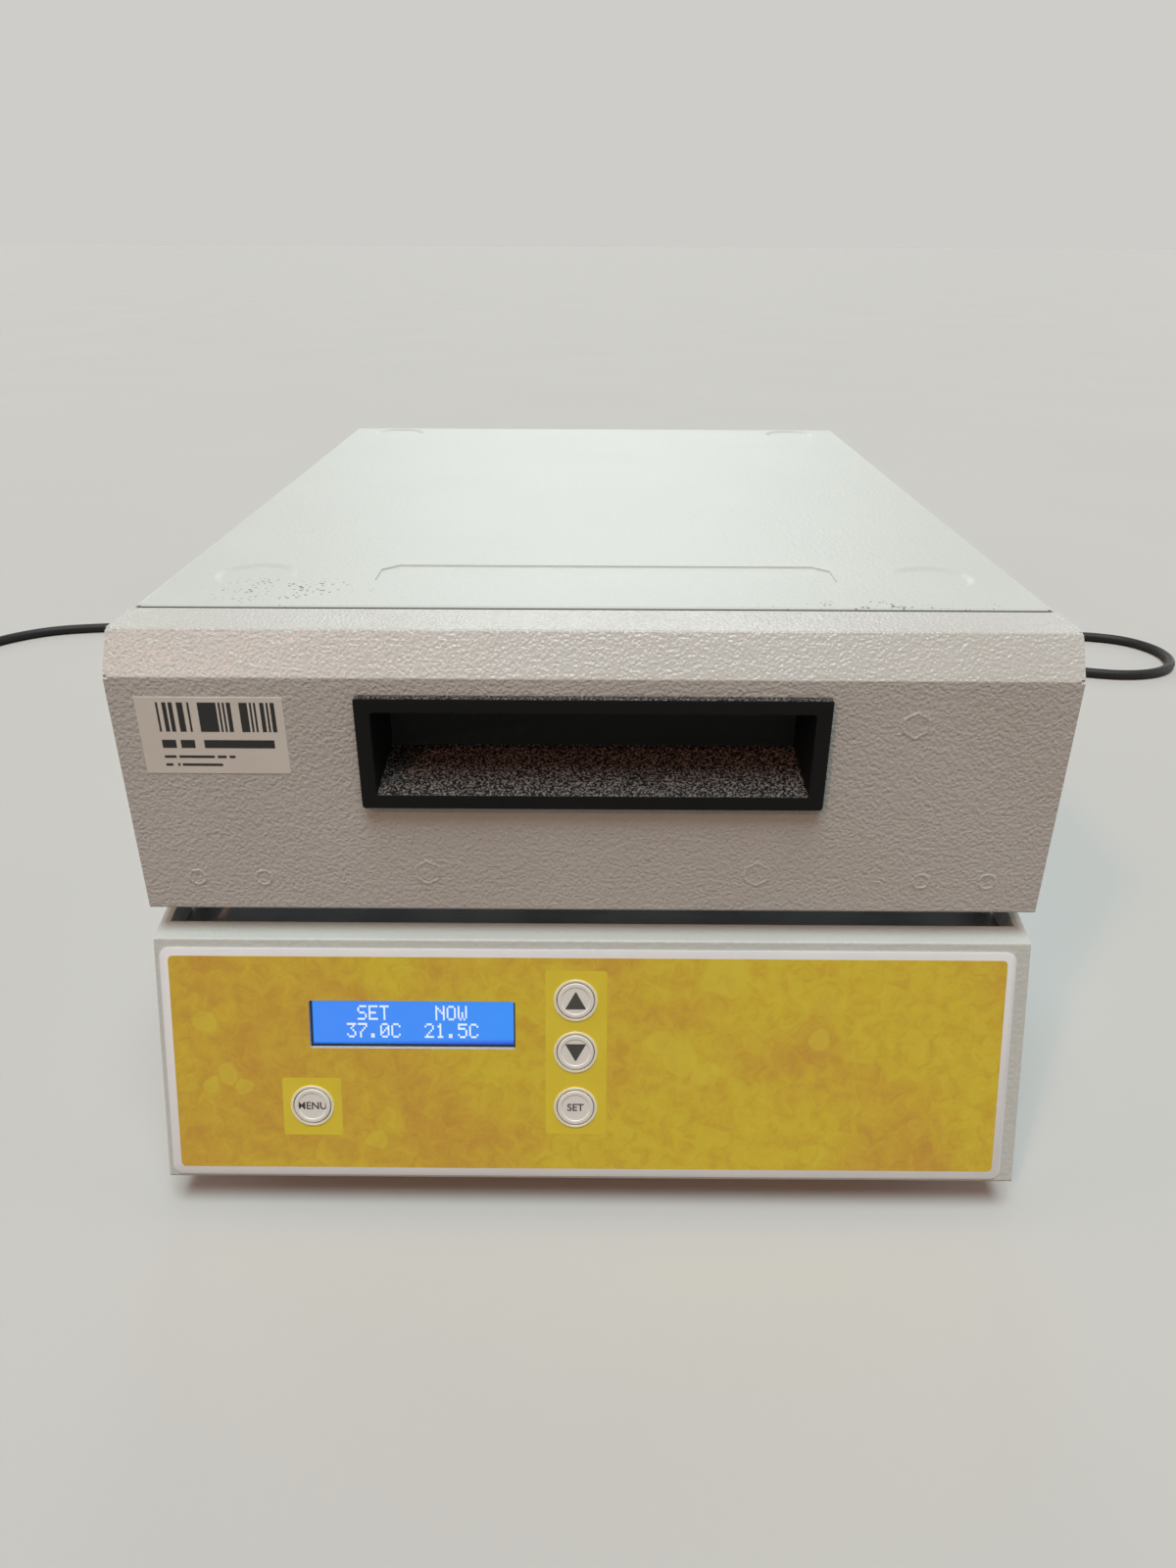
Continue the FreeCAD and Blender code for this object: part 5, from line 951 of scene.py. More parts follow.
    def finish_with(self, kind: str, **settings: object) -> "Piece":
        """Add a modifier and apply it.

        Args:
            kind: The modifier's type.
            **settings: Its settings.

        Returns:
            The piece.
        """
        self.ready()
        modifier = self.obj.modifiers.new(kind.title(), kind)
        for name, setting in settings.items():
            setattr(modifier, name, setting)
        bpy.ops.object.modifier_apply(modifier=modifier.name)
        return self

    def edge(self, width: float, segments: int = 3, angle: float = 30.0) -> "Piece":
        """Round every edge sharper than an angle."""
        return self.finish_with("BEVEL", width=width, segments=segments, limit_method="ANGLE",
                                angle_limit=math.radians(angle))

    def cut(self, *tools: "Piece") -> "Piece":
        """Cut other pieces out of this one, and throw them away.

        Args:
            *tools: The pieces to cut out.

        Returns:
            The piece.
        """
        for tool in tools:
            self.finish_with("BOOLEAN", operation="DIFFERENCE", object=tool.obj, solver="EXACT")
            tool.discard()
        return self

    def discard(self) -> None:
        """Throw the piece away."""
        bpy.data.objects.remove(self.obj)

    def join(self, *others: "Piece") -> "Piece":
        """Join other pieces into this one.

        Args:
            *others: The pieces to take in.

        Returns:
            The piece.
        """
        self.ready()
        for other in others:
            other.obj.select_set(True)
        bpy.ops.object.join()
        return self

    def copy(self, name: str, move: Sequence[float]) -> "Piece":
        """Copy the piece with its own mesh.

        Args:
            name: The copy's name.
            move: How far the copy is moved.

        Returns:
            The copy.
        """
        self.ready()
        bpy.ops.object.duplicate(linked=False)
        bpy.context.active_object.location = move
        return Piece(name)

    def stand(self, plane: Matrix) -> "Piece":
        """Move a piece that was built flat into its plane.

        Args:
            plane: The plane's place and turn.

        Returns:
            The piece.
        """
        self.obj.matrix_world = plane
        self.apply()
        return self

    def dress(self, finish: Finishes) -> "Piece":
        """Give the piece one finish.

        Args:
            finish: The finish.

        Returns:
            The piece.
        """
        wear(self.obj, finish)
        return self

    def settle(self, body: str, slot: str, *nodes: str, angle: float = 35.0) -> "Piece":
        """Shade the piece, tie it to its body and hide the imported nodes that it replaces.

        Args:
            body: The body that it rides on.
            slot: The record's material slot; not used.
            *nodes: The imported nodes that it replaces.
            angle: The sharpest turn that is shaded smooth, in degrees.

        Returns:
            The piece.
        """
        self.pick("FACE", anywhere)
        bpy.ops.mesh.remove_doubles(threshold=MERGED)
        bpy.ops.mesh.normals_make_consistent(inside=False)
        bpy.ops.object.mode_set(mode="OBJECT")
        bpy.ops.object.shade_smooth_by_angle(angle=math.radians(angle))
        self.clear()
        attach(self.obj, body)
        if nodes:
            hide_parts(*nodes)
        log.info("%s rides on %s", self.obj.name, body)
        return self


# View and light


@dataclass
class Camera:
    """The camera that took the view, solved from the object's own corners."""

    lens_mm: float = 25.02
    sensor_mm: float = 36.0
    nearest: float = 10.0 * MM
    place: Vector = field(default_factory=lambda: Vector((-0.1, -465.7, 291.6)) * MM)
    pitch: float = math.radians(26.53)
    yaw: float = math.radians(0.25)
    roll: float = math.radians(-0.22)

    def build(self) -> None:
        """Make the camera and set it."""
        data = bpy.data.cameras.new("view")
        data.sensor_fit = "VERTICAL"
        data.sensor_height = self.sensor_mm
        data.lens = self.lens_mm
        data.clip_start = self.nearest
        camera = bpy.data.objects.new("view", data)
        bpy.context.scene.collection.objects.link(camera)
        turn = Matrix.Rotation(self.yaw, 3, "Z")
        ahead = turn @ Vector((0, math.cos(self.pitch), -math.sin(self.pitch)))
        down = turn @ Vector((0, -math.sin(self.pitch), -math.cos(self.pitch)))
        right = turn @ Vector((1, 0, 0))
        side = math.cos(self.roll) * right + math.sin(self.roll) * down
        below = -math.sin(self.roll) * right + math.cos(self.roll) * down
        camera.matrix_world = Matrix.Translation(self.place) @ Matrix((side, -below, -ahead)).transposed().to_4x4()
        bpy.context.scene.camera = camera


@dataclass(frozen=True)
class Lamp:
    """A far soft lamp, by the way that it stands from the object.

    Its turn is in degrees from the front towards the right, its height in degrees above the floor, and its
    spread is the angle that it fills.
    """

    name: str
    turn: float
    height: float
    spread: float
    strength: float
    colour: tuple[float, float, float]

    def build(self) -> None:
        """Hang the lamp."""
        data = bpy.data.lights.new(self.name, "SUN")
        data.energy = self.strength
        data.angle = math.radians(self.spread)
        data.color = self.colour
        turn, height = math.radians(self.turn), math.radians(self.height)
        towards = Vector((math.sin(turn) * math.cos(height), -math.cos(turn) * math.cos(height), math.sin(height)))
        lamp = bpy.data.objects.new(self.name, data)
        lamp.rotation_euler = towards.to_track_quat("Z", "Y").to_euler()
        bpy.context.scene.collection.objects.link(lamp)


@dataclass
class Studio:
    """Pale floor, pale surroundings and soft lamps: cool and bright from above, warm and dim in front."""

    floor_radius: float = 60.0
    floor_sides: int = 96
    far_tone: str = "#CECDC9"
    room_tone: str = "#FFDFBE"
    room_strength: float = 0.14
    lamps: tuple[Lamp, ...] = (
        Lamp("overhead", 0.0, 75.0, 35.0, 2.05, (0.86, 0.98, 0.99)),
        Lamp("front_left", -36.0, 39.0, 5.0, 0.50, (1.0, 0.46, 0.29)),
        Lamp("behind", 180.0, 26.0, 30.0, 0.34, (0.90, 0.98, 1.0)),
        Lamp("behind_left", -138.0, 12.0, 30.0, 0.28, (0.97, 0.98, 1.0)),
        Lamp("behind_right", 138.0, 12.0, 30.0, 0.28, (0.97, 0.98, 1.0)),
        Lamp("left", -88.0, 12.0, 36.0, 0.40, (0.98, 0.98, 1.0)),
        Lamp("right", 88.0, 12.0, 36.0, 0.40, (0.98, 0.98, 1.0)),
    )

    def build(self) -> None:
        """Make the floor, the surroundings and the lamps."""
        bpy.context.scene.view_settings.view_transform = "Standard"
        self.floor()
        self.surroundings()
        for lamp in self.lamps:
            lamp.build()
        log.info("floor, surroundings and %d lamps set", len(self.lamps))

    def floor(self) -> None:
        """Make the floor, which isn't part of the object."""
        Piece.clear()
        bpy.ops.mesh.primitive_circle_add(vertices=self.floor_sides, radius=self.floor_radius, fill_type="NGON")
        Piece("floor").dress(Finishes.FLOOR).obj

    def surroundings(self) -> None:
        """Light the world softly, and show it pale."""
        world = bpy.data.worlds.new("room")
        bpy.context.scene.world = world
        world.use_nodes = True
        tree = world.node_tree
        tree.nodes.clear()
        dim = add_node(tree, "Background", {"Color": self.room_tone, "Strength": self.room_strength})
        pale = add_node(tree, "Background", {"Color": self.far_tone, "Strength": 1.0})
        mix = add_node(tree, "MixShader", {0: seen(tree), 1: dim, 2: pale})
        add_node(tree, "OutputWorld", {"Surface": mix})


# Sub-assemblies


@dataclass
class MainsLead:
    """The mains lead from its connector to its plug, one smooth line with its spare length in a coil.

    The route, the coil and the plug's place are in millimetres, as in the part's source.
    """

    diameter: float = 7.0 * MM
    length: float = 2.285
    steps_round: int = 5
    steps_along: int = 8
    route: tuple[tuple[float, float, float], ...] = (
        (85, 253, 44), (85, 283, 44), (90, 312, 34), (102, 338, 19), (122, 360, 8), (150, 375, 3.5),
        (182, 380, 3.5), (218, 374, 3.5), (256, 357, 3.5), (294, 335, 3.5), (333, 317, 3.5), (368, 303, 3.5),
        (398, 297, 3.5), (426, 304, 3.5), (444, 325, 3.5), (446, 352, 3.5), (431, 376, 3.5), (402, 387, 3.5),
        (355, 391, 3.5), (310, 398, 3.5), (262, 408, 3.5), (205, 413, 3.5), (140, 409, 3.5), (70, 399, 3.5),
        (0, 395, 3.5), (-70, 399, 3.5), (-140, 409, 3.5), (-210, 415, 3.5), (-280, 411, 3.5), (-345, 401, 3.5),
        (-397, 397, 3.5), (-437, 390, 3.5), (-462, 375, 3.5), (-480, 354, 3.5), (-491, 329, 3.5),
        (-493, 303, 3.5), (-493, 284, 3.5),
    )
    bench_rise: float = 3.5
    coil_centre: tuple[float, float] = (-536.0, 277.0)
    coil_radius: float = 43.0
    coil_turns: int = 3
    coil_pitch: float = 8.0
    coil_layer: float = 7.7
    points_a_turn: int = 16
    # Turns after which the coil widens again, climbs to its second layer, and rises to the plug.
    widens: float = 1.25
    climbs: float = 1.0
    rises: float = 2.5
    climb_turns: float = 0.5
    inlet: tuple[float, float] = (85.0, 44.0)
    plug_x: float = -489.0
    plug_height: float = 12.0
    plug_tail: float = 270.0

    def coil_points(self) -> list[tuple[float, float, float]]:
        """List the coil's points: in on the bench, up a layer, and out on top.

        Returns:
            The points, and after them those into the plug.
        """
        points = []
        reach = 1 / math.cos(math.pi / self.points_a_turn)
        for i in range(1, self.coil_turns * self.points_a_turn):
            turns = i / self.points_a_turn
            inward, outward = min(turns, self.widens), max(turns - self.widens, 0)
            radius = (self.coil_radius - self.coil_pitch * inward + self.coil_pitch * outward) * reach
            top = self.plug_height - self.bench_rise - self.coil_layer
            height = self.bench_rise + self.coil_layer * self.eased(turns, self.climbs)
            height += top * self.eased(turns, self.rises)
            angle = -2 * math.pi * turns
            x = self.coil_centre[0] + radius * math.cos(angle)
            y = self.coil_centre[1] + radius * math.sin(angle)
            points.append((x, y, height))
        into_plug = [(self.plug_x, y, self.plug_height) for y in (self.coil_centre[1], self.plug_tail)]
        return points + into_plug

    def eased(self, turns: float, start: float) -> float:
        """Give how much of a climb is done, from 0 to 1, with a soft start and a soft end."""
        share = min(max((turns - start) / self.climb_turns, 0.0), 1.0)
        return share ** 2 * (3 - 2 * share)

    def build(self) -> None:
        """Lay the lead, and make its connector and its plug."""
        connector = self.connector()
        plug = self.plug()
        places = [Vector(point) * MM for point in (*self.route, *self.coil_points())]
        curve = bpy.data.curves.new("mains_lead", "CURVE")
        curve.dimensions = "3D"
        spline = curve.splines.new("NURBS")
        spline.points.add(len(places) - 1)
        for point, place in zip(spline.points, places):
            point.co = (*place, 1.0)
        spline.order_u = 3
        spline.use_endpoint_u = True
        curve.bevel_depth = self.diameter / 2
        curve.bevel_resolution = self.steps_round
        curve.resolution_u = self.steps_along
        curve.use_fill_caps = True
        curve.materials.append(Finishes.PVC_BLACK.material)
        lead = bpy.data.objects.new("mains_lead", curve)
        bpy.context.scene.collection.objects.link(lead)
        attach(lead, OVEN)
        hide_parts("power_cord", "power_cord_coil")
        log.info("mains_lead laid")

    def relief(self, name: str, x: float, z: float, root: float, tip: float) -> Piece:
        """Make a tapered strain relief along y, with slots round it.

        Args:
            name: The piece's name.
            x: Its axis's place across.
            z: Its axis's height.
            root: Where it leaves the grip.
            tip: Where the lead leaves it.

        Returns:
            The piece.
        """
        sides, steps, depth = 32, 7, 0.9 * MM
        piece = Piece.round(name, "y", (x, z), (min(root, tip), max(root, tip)), 6.4 * MM, 4.5 * MM, sides)
        step = (tip - root) / steps
        half = abs(step) * 0.28
        slots = []
        for number in range(1, steps):
            along = number - 0.2
            middle = root + step * along
            radius = (6.45 - 1.85 * along / steps) * MM
            slot = Piece.round(f"{name}_slot", "y", (x, z), (middle - half, middle + half), radius * 1.3,
                               sides=sides)
            core = Piece.round(f"{name}_core", "y", (x, z), (middle - 2 * half, middle + 2 * half),
                               radius - depth, sides=sides)
            slots.append(slot.cut(core))
        return piece.cut(*slots).edge(0.25 * MM, 2, 40)

    def grip(self, name: str, x: float, z: float, ends: tuple[float, float], width: float,
             height: float) -> Piece:
        """Make a moulded grip with finger grooves on both sides.

        Args:
            name: The piece's name.
            x: Its middle across.
            z: Its middle up.
            ends: Its front and back along y.
            width: Its width.
            height: Its height.

        Returns:
            The piece.
        """
        low = (x - width / 2, ends[0], z - height / 2)
        high = (x + width / 2, ends[1], z + height / 2)
        body = Piece.block(name, low, high).bevel(3.6 * MM, 5, lengthwise)
        body.edge(1.0 * MM, 3, 50)
        deep, half_y, half_z = 0.9 * MM, 0.6 * MM, height * 0.3
        grooves = []
        for side in (-1, 1):
            outside = x + side * (width / 2 + 0.2 * MM)
            near, far = sorted((outside, outside - side * deep))
            for share in (0.3, 0.44, 0.58, 0.72):
                y = ends[0] + (ends[1] - ends[0]) * share
                grooves.append(Piece.block(f"{name}_groove", (near, y - half_y, z - half_z),
                                           (far, y + half_y, z + half_z)))
        return body.cut(*grooves)

    def connector(self) -> Piece:
        """Make the connector in the mains inlet.

        Returns:
            The connector.
        """
        x, z = (place * MM for place in self.inlet)
        tip, front, back, tail = 179.4 * MM, 195.0 * MM, 223.0 * MM, 253.0 * MM
        half_x, half_z, buried = 11.9 * MM, 7.9 * MM, 1.0 * MM
        grip = self.grip("connector_body", x, z, (front, back), 27.0 * MM, 20.0 * MM)
        nose = Piece.block("connector_nose", (x - half_x, tip, z - half_z), (x + half_x, front, z + half_z))
        nose.bevel(2.2 * MM, 4, lengthwise)
        relief = self.relief("connector_relief", x, z, back - buried, tail)
        grip.join(nose, relief)
        return grip.dress(Finishes.PVC_BLACK).settle(OVEN, "black_rubber", "mains_connector")

    def plug(self) -> Piece:
        """Make the plug and its blades beside the coil.

        Returns:
            The plug's body.
        """
        x, z, tail = self.plug_x * MM, self.plug_height * MM, self.plug_tail * MM
        tip, front, back, buried = 189.0 * MM, 206.0 * MM, 240.0 * MM, 1.0 * MM
        apart, half_x, half_z = 6.35 * MM, 0.75 * MM, 3.15 * MM
        left, right = (Piece.block("plug_blades", (middle - half_x, tip, z - half_z),
                                   (middle + half_x, front, z + half_z)).edge(0.4 * MM, 2)
                       for middle in (x - apart, x + apart))
        pin = Piece.round("plug_pin", "y", (x, z - 6.0 * MM), (tip, front), 2.4 * MM, sides=24)
        left.join(right, pin.edge(0.8 * MM, 3, 50)).dress(Finishes.BRASS).settle(OVEN, "brass_pin")
        grip = self.grip("plug_body", x, z, (front, back), 27.0 * MM, 24.0 * MM)
        grip.join(self.relief("plug_relief", x, z, back - buried, tail))
        return grip.dress(Finishes.PVC_BLACK).settle(OVEN, "black_rubber", "mains_plug")


@dataclass
class ControlPanel:
    """Printed film, keys and display on the leaning panel. Sizes are across, and up the slope."""

    film_width: float = 273.6 * MM
    film_height: float = 78.6 * MM
    film_x: float = -1.4 * MM
    film_rise: float = 40.9 * MM
    film_thickness: float = 0.35 * MM
    film_corner: float = 3.2 * MM
    field_border: float = 2.7 * MM
    field_corner: float = 1.6 * MM
    print_sunk: float = 0.05 * MM
    print_proud: float = 0.02 * MM
    patch_proud: float = 0.04 * MM
    patch_corner: float = 0.8 * MM
    window_x: float = -57.8 * MM
    window_rise: float = 54.5 * MM
    window_width: float = 66.6 * MM
    window_height: float = 16.2 * MM
    window_corner: float = 0.9 * MM
    through: float = 10.0 * MM
    hole_radius: float = 6.2 * MM
    ring_radius: float = 7.1 * MM
    ring_proud: float = 0.33 * MM
    key_top: float = 0.65 * MM
    ink: float = 0.06 * MM
    dot: tuple[float, float] = (0.603 * MM, 0.72 * MM)
    dot_gap: float = 0.02 * MM
    dot_proud: float = 0.05 * MM
    glass_depth: float = 1.88 * MM
    text_top: float = 5.75 * MM
    line_pitch: float = 6.1 * MM
    # Each pale patch's left, low, right and high edges.
    patches: tuple[tuple[float, float, float, float], ...] = (
        (-14.75 * MM, 16.9 * MM, 5.1 * MM, 73.2 * MM),
        (-100.8 * MM, 15.9 * MM, -81.5 * MM, 36.0 * MM),
    )
    # Each key's body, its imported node, and its middle across and up the slope.
    keys: tuple[tuple[str, str, float, float], ...] = (
        ("up_button", "up_key", -5.0 * MM, 63.2 * MM),
        ("down_button", "down_key", -5.0 * MM, 45.5 * MM),
        ("set_button", "set_key", -5.0 * MM, 26.2 * MM),
        ("menu_button", "menu_key", -91.2 * MM, 26.2 * MM),
    )

    def build(self) -> None:
        """Make the film, its print, the patches, the rings, the keys' legends and the lit text."""
        film = self.plate("panel_film", 0.0, 0.0, self.film_thickness, self.film_corner)
        film.cut(*self.holes()).edge(0.08 * MM, 2)
        # The film's white is tinted blue as painted cool light on the leaning panel.
        film.stand(PANEL_PLANE).dress(Finishes.FILM_BORDER).settle(OVEN, "overlay_film", "graphic_overlay")
        top = self.film_thickness
        printed = self.plate("panel_print", self.field_border, top - self.print_sunk, top + self.print_proud,
                             self.field_corner)
        printed.cut(*self.holes()).stand(PANEL_PLANE).dress(Finishes.FILM_PRINT).settle(OVEN, "overlay_film")
        for number, (left, low, right, high) in enumerate(self.patches, start=1):
            patch = Piece.block(f"pale_patch_{number}", (left, low, top), (right, high, top + self.patch_proud))
            patch.bevel(self.patch_corner, 3, upright)
            patch.cut(*[self.key_hole(x, y) for _, _, x, y in self.keys if left < x < right])
            patch.stand(PANEL_PLANE).dress(Finishes.PATCH).settle(OVEN, "overlay_film")
        self.rings()
        self.legends()
        self.lit_text()

    def plate(self, name: str, inset: float, low: float, high: float, corner: float) -> Piece:
        """Make a plate with round corners.

        Args:
            name: The piece's name.
            inset: How much smaller than the film it is all round.
            low: Where it starts out of the panel.
            high: Where it ends.
            corner: Its corners' radius.

        Returns:
            The piece.
        """
        half_x, half_y = self.film_width / 2 - inset, self.film_height / 2 - inset
        piece = Piece.block(name, (self.film_x - half_x, self.film_rise - half_y, low),
                            (self.film_x + half_x, self.film_rise + half_y, high))
        return piece.bevel(corner, 6, upright)

    def holes(self) -> list[Piece]:
        """Make the cutters for the window and the keys.

        Returns:
            The cutters.
        """
        low = (self.window_x - self.window_width / 2, self.window_rise - self.window_height / 2, -self.through)
        high = (self.window_x + self.window_width / 2, self.window_rise + self.window_height / 2, self.through)
        window = Piece.block("cutter", low, high).bevel(self.window_corner, 4, upright)
        return [window, *[self.key_hole(x, y) for _, _, x, y in self.keys]]

    def key_hole(self, x: float, y: float) -> Piece:
        """Make the cutter for one key."""
        return Piece.round("cutter", "z", (x, y), (-self.through, self.through), self.hole_radius)

    def rings(self) -> None:
        """Emboss a ring round each key: one disc with a rounded rim, bored through and copied."""
        low, high = self.film_thickness - 0.1 * MM, self.film_thickness + self.ring_proud
        wall = self.ring_radius - self.hole_radius
        first = Piece.round("key_ring", "z", (0, 0), (low, high), self.ring_radius, sides=64)
        first.inset(wall, upright)
        first.tunnel(lambda m, n: upright(m, n) and m.length < 1 * MM)
        first.edge(0.16 * MM, 3, 50)
        for _, node, x, y in self.keys:
            ring = first.copy(f"{node}_ring", (x, y, 0))
            ring.stand(PANEL_PLANE).dress(Finishes.KEY_RING).settle(OVEN, "overlay_film", angle=60)
        first.discard()

    def legends(self) -> None:
        """Mark the keys: two arrows and two words, printed in the dishes."""
        for body, node, x, y in self.keys:
            name = f"{node}_legend"
            if node in ("up_key", "down_key"):
                mark = self.arrow(name, x, y, 1 if node == "up_key" else -1)
            else:
                text = "SET" if node == "set_key" else "MENU"
                mark = Piece.word(name, text, 3.5 * MM, (x, y, self.key_top), self.ink)
            mark.stand(PANEL_PLANE).dress(Finishes.LEGEND).settle(body, "key_plastic")

    def arrow(self, name: str, x: float, y: float, way: int) -> Piece:
        """Make an arrow: a block whose far edge is drawn together to a point.

        Args:
            name: The piece's name.
            x: Its middle across.
            y: Its middle up the slope.
            way: 1 for up, -1 for down.

        Returns:
            The piece.
        """
        half, tall, point = 3.4 * MM, 5.8 * MM, 0.15 * MM
        low, high = y - tall / 2, y + tall / 2
        sunk, proud = self.key_top - self.ink / 2, self.key_top + self.ink / 2
        mark = Piece.block(name, (x - half, low, sunk), (x + half, high, proud))
        for side in (-1, 1):
            mark.move((-side * (half - point), 0, 0), lambda v, n: (v.y - y) * way > 0 and (v.x - x) * side > 0)
        return mark.bevel(0.12 * MM, 2, upright)

    def lit_text(self) -> None:
        """Light the display's dots: two plain words over two temperatures."""
        first = self.lit_line("   SET    NOW   ", self.text_top)
        first.join(self.lit_line("  37.0C  21.5C  ", self.text_top - self.line_pitch))
        first.stand(PANEL_PLANE).dress(Finishes.GLOW).settle(OVEN, "blue_display")

    def lit_line(self, text: str, above: float) -> Piece:
        """Light one line: a grid of dots without those that stay dark, each drawn in and raised.

        Args:
            text: The line's characters.
            above: The line's top edge, above the window's middle.

        Returns:
            The piece.
        """
        counts = (len(text) * CELL_COLUMNS, CELL_ROWS)
        left, top = self.window_x - counts[0] * self.dot[0] / 2, self.window_rise + above
        line = Piece.grid("lit_text", left, top, -self.glass_depth, self.dot, counts)

        def stays_dark(middle: Vector, direction: Vector) -> bool:
            """Tell whether a grid cell isn't one of its character's dots.

            Args:
                middle: The cell's middle.
                direction: The cell's normal; not used.

            Returns:
                Whether it stays dark.
            """
            column, row = int((middle.x - left) / self.dot[0]), int((top - middle.y) / self.dot[1])
            character, dot = divmod(column, CELL_COLUMNS)
            return not DOTS.get(text[character], (0,) * CELL_ROWS)[row] & (LEFT_DOT >> dot)

        return line.drop(stays_dark).shrink_cells(self.dot_gap).push((0, 0, self.dot_proud))


# The display's characters, seven rows of five dots each, from the top, with a dark column after each character.
CELL_COLUMNS, CELL_ROWS, LEFT_DOT = 6, 7, 16
DOTS = {
    "S": (15, 16, 16, 14, 1, 1, 30), "E": (31, 16, 16, 30, 16, 16, 31), "T": (31, 4, 4, 4, 4, 4, 4),
    "N": (17, 25, 21, 19, 17, 17, 17), "O": (14, 17, 17, 17, 17, 17, 14), "W": (17, 17, 17, 21, 21, 21, 10),
    "3": (31, 2, 4, 2, 1, 17, 14), "7": (31, 1, 2, 4, 8, 8, 8), "0": (14, 17, 19, 21, 25, 17, 14),
    "C": (14, 17, 16, 16, 16, 17, 14), "2": (14, 17, 1, 2, 4, 8, 31), "1": (4, 12, 4, 4, 4, 4, 14),
    "5": (31, 16, 30, 1, 1, 17, 14), ".": (0, 0, 0, 0, 0, 12, 12),
}


@dataclass
class DoorFront:
    """What shows on the door and over it: the pull handle, a dark strip that paints the shadow in the gap over the
    door, the weld marks and the label's bars.
    """

    handle_width: float = 137.2 * MM
    handle_height: float = 35.5 * MM
    handle_z: float = 157.3 * MM
    border: float = 4.6 * MM
    proud: float = 3.0 * MM
    cup_depth: float = 18.0 * MM
    wall: float = 1.6 * MM
    floor_rise: float = 7.2 * MM
    draft: float = 1.8 * MM
    label_left: float = -132.0 * MM
    label_right: float = -89.4 * MM
    label_top: float = 173.9 * MM
    label_proud: float = 0.15 * MM
    ink: float = 0.03 * MM
    # The bars' and lines' margins on the label: left, right and over the bars.
    margins: tuple[float, float, float] = (6.0 * MM, 3.0 * MM, 1.6 * MM)
    bar: tuple[float, float] = (0.6 * MM, 9.2 * MM)
    bar_places: int = 59
    bar_share: float = 0.55
    seed: int = 11
    line_places: int = 24
    # The low and high corners of the dark strip that paints the gap's shadow.
    strip_low: tuple[float, float, float] = (-137.8 * MM, -148.7 * MM, 186.5 * MM)
    strip_high: tuple[float, float, float] = (137.8 * MM, -147.05 * MM, 191.86 * MM)
    # Marks of the welds, across and up the door in millimetres, and their radii and sides.
    stud_mark: tuple[float, int] = (2.9 * MM, 40)
    post_mark: tuple[float, int] = (4.6 * MM, 6)
    stud_rings: tuple[tuple[float, float], ...] = (
        (-122.8, 113.5), (-102.2, 113.5), (102.2, 113.5), (122.8, 113.5),
    )
    post_marks: tuple[tuple[float, float], ...] = ((-51.0, 115.7), (51.0, 115.7), (93.6, 166.1))
    # The label's printed lines: how far down, how much of the width, and the height, in millimetres.
    label_lines: tuple[tuple[float, float, float], ...] = ((13.4, 0.98, 2.6), (18.4, 0.62, 0.8), (21.0, 0.5, 0.8))

    def build(self) -> None:
        """Make the handle, the painted shadow strip, the marks and the label's bars."""
        self.handle()
        self.gap_shadow_strip()
        self.weld_marks()
        self.label_bars()

    def handle(self) -> None:
        """Make the bezel and the drafted cup behind it, from one block."""
        half, top = self.handle_width / 2, self.handle_z + self.handle_height / 2
        base = self.handle_z - self.handle_height / 2
        face = DOOR_FACE_Y - self.proud
        shell = Piece.block("pull_handle", (-half, face, base), (half, DOOR_FACE_Y, top))
        shell.inset(self.border - self.wall, lambda m, n: n.y > ALONG)
        self.draw_back(shell, DOOR_FACE_Y, self.cup_depth + self.wall, half - self.border + self.wall, 1)
        shell.inset(self.border, lambda m, n: n.y < -ALONG)
        self.draw_back(shell, face, self.cup_depth + self.proud, half - self.border, -1)
        shell.bevel(1.1 * MM, 4, lambda m, d: abs(d.y) > 0.7)
        shell.edge(0.5 * MM, 3, 40)
        shell.dress(Finishes.ABS_BLACK).settle(DOOR, "black_plastic", "handle_cup")

    def gap_shadow_strip(self) -> None:
        """Lay a dark rubber strip in the gap over the door as a painted shadow of the gap, which reads as a dark
        line.
        """
        strip = Piece.block("gap_shadow_strip", self.strip_low, self.strip_high).edge(0.15 * MM, 2, 40)
        strip.dress(Finishes.FOOT_RUBBER).settle(OVEN, "black_rubber")

    def draw_back(self, shell: Piece, start: float, depth: float, half: float, facing: int) -> None:
        """Push the middle of one face back, and draft its sides and its floor.

        Args:
            shell: The handle so far.
            start: Where the face lies.
            depth: How far its middle goes back.
            half: Half of the middle's width.
            facing: 1 for the face towards the back, -1 for the front.
        """
        shell.push((0, depth, 0), lambda m, n: n.y * facing > ALONG and abs(m.y - start) < SAME
                   and abs(m.x) < 1 * MM and abs(m.z - self.handle_z) < 1 * MM)
        end = start + depth
        for side in (-1, 1):
            shell.move((-side * self.draft, 0, 0), lambda v, n: abs(v.y - end) < SAME and v.x * side > half / 2)
        shell.move((0, 0, self.floor_rise), lambda v, n: abs(v.y - end) < SAME and v.z < self.handle_z)

    def weld_marks(self) -> None:
        """Raise the faint rings and hexagons that the welds leave under the paint."""
        marks = [self.mark(x * MM, z * MM, *self.stud_mark) for x, z in self.stud_rings]
        marks += [self.mark(x * MM, z * MM, *self.post_mark) for x, z in self.post_marks]
        marks[0].join(*marks[1:])
        # The marks wear the door's powder, tinted warmer as painted warm light on the front.
        marks[0].stand(DOOR_PLANE).dress(Finishes.DOOR_PAINT).settle(DOOR, "case_paint", angle=70)

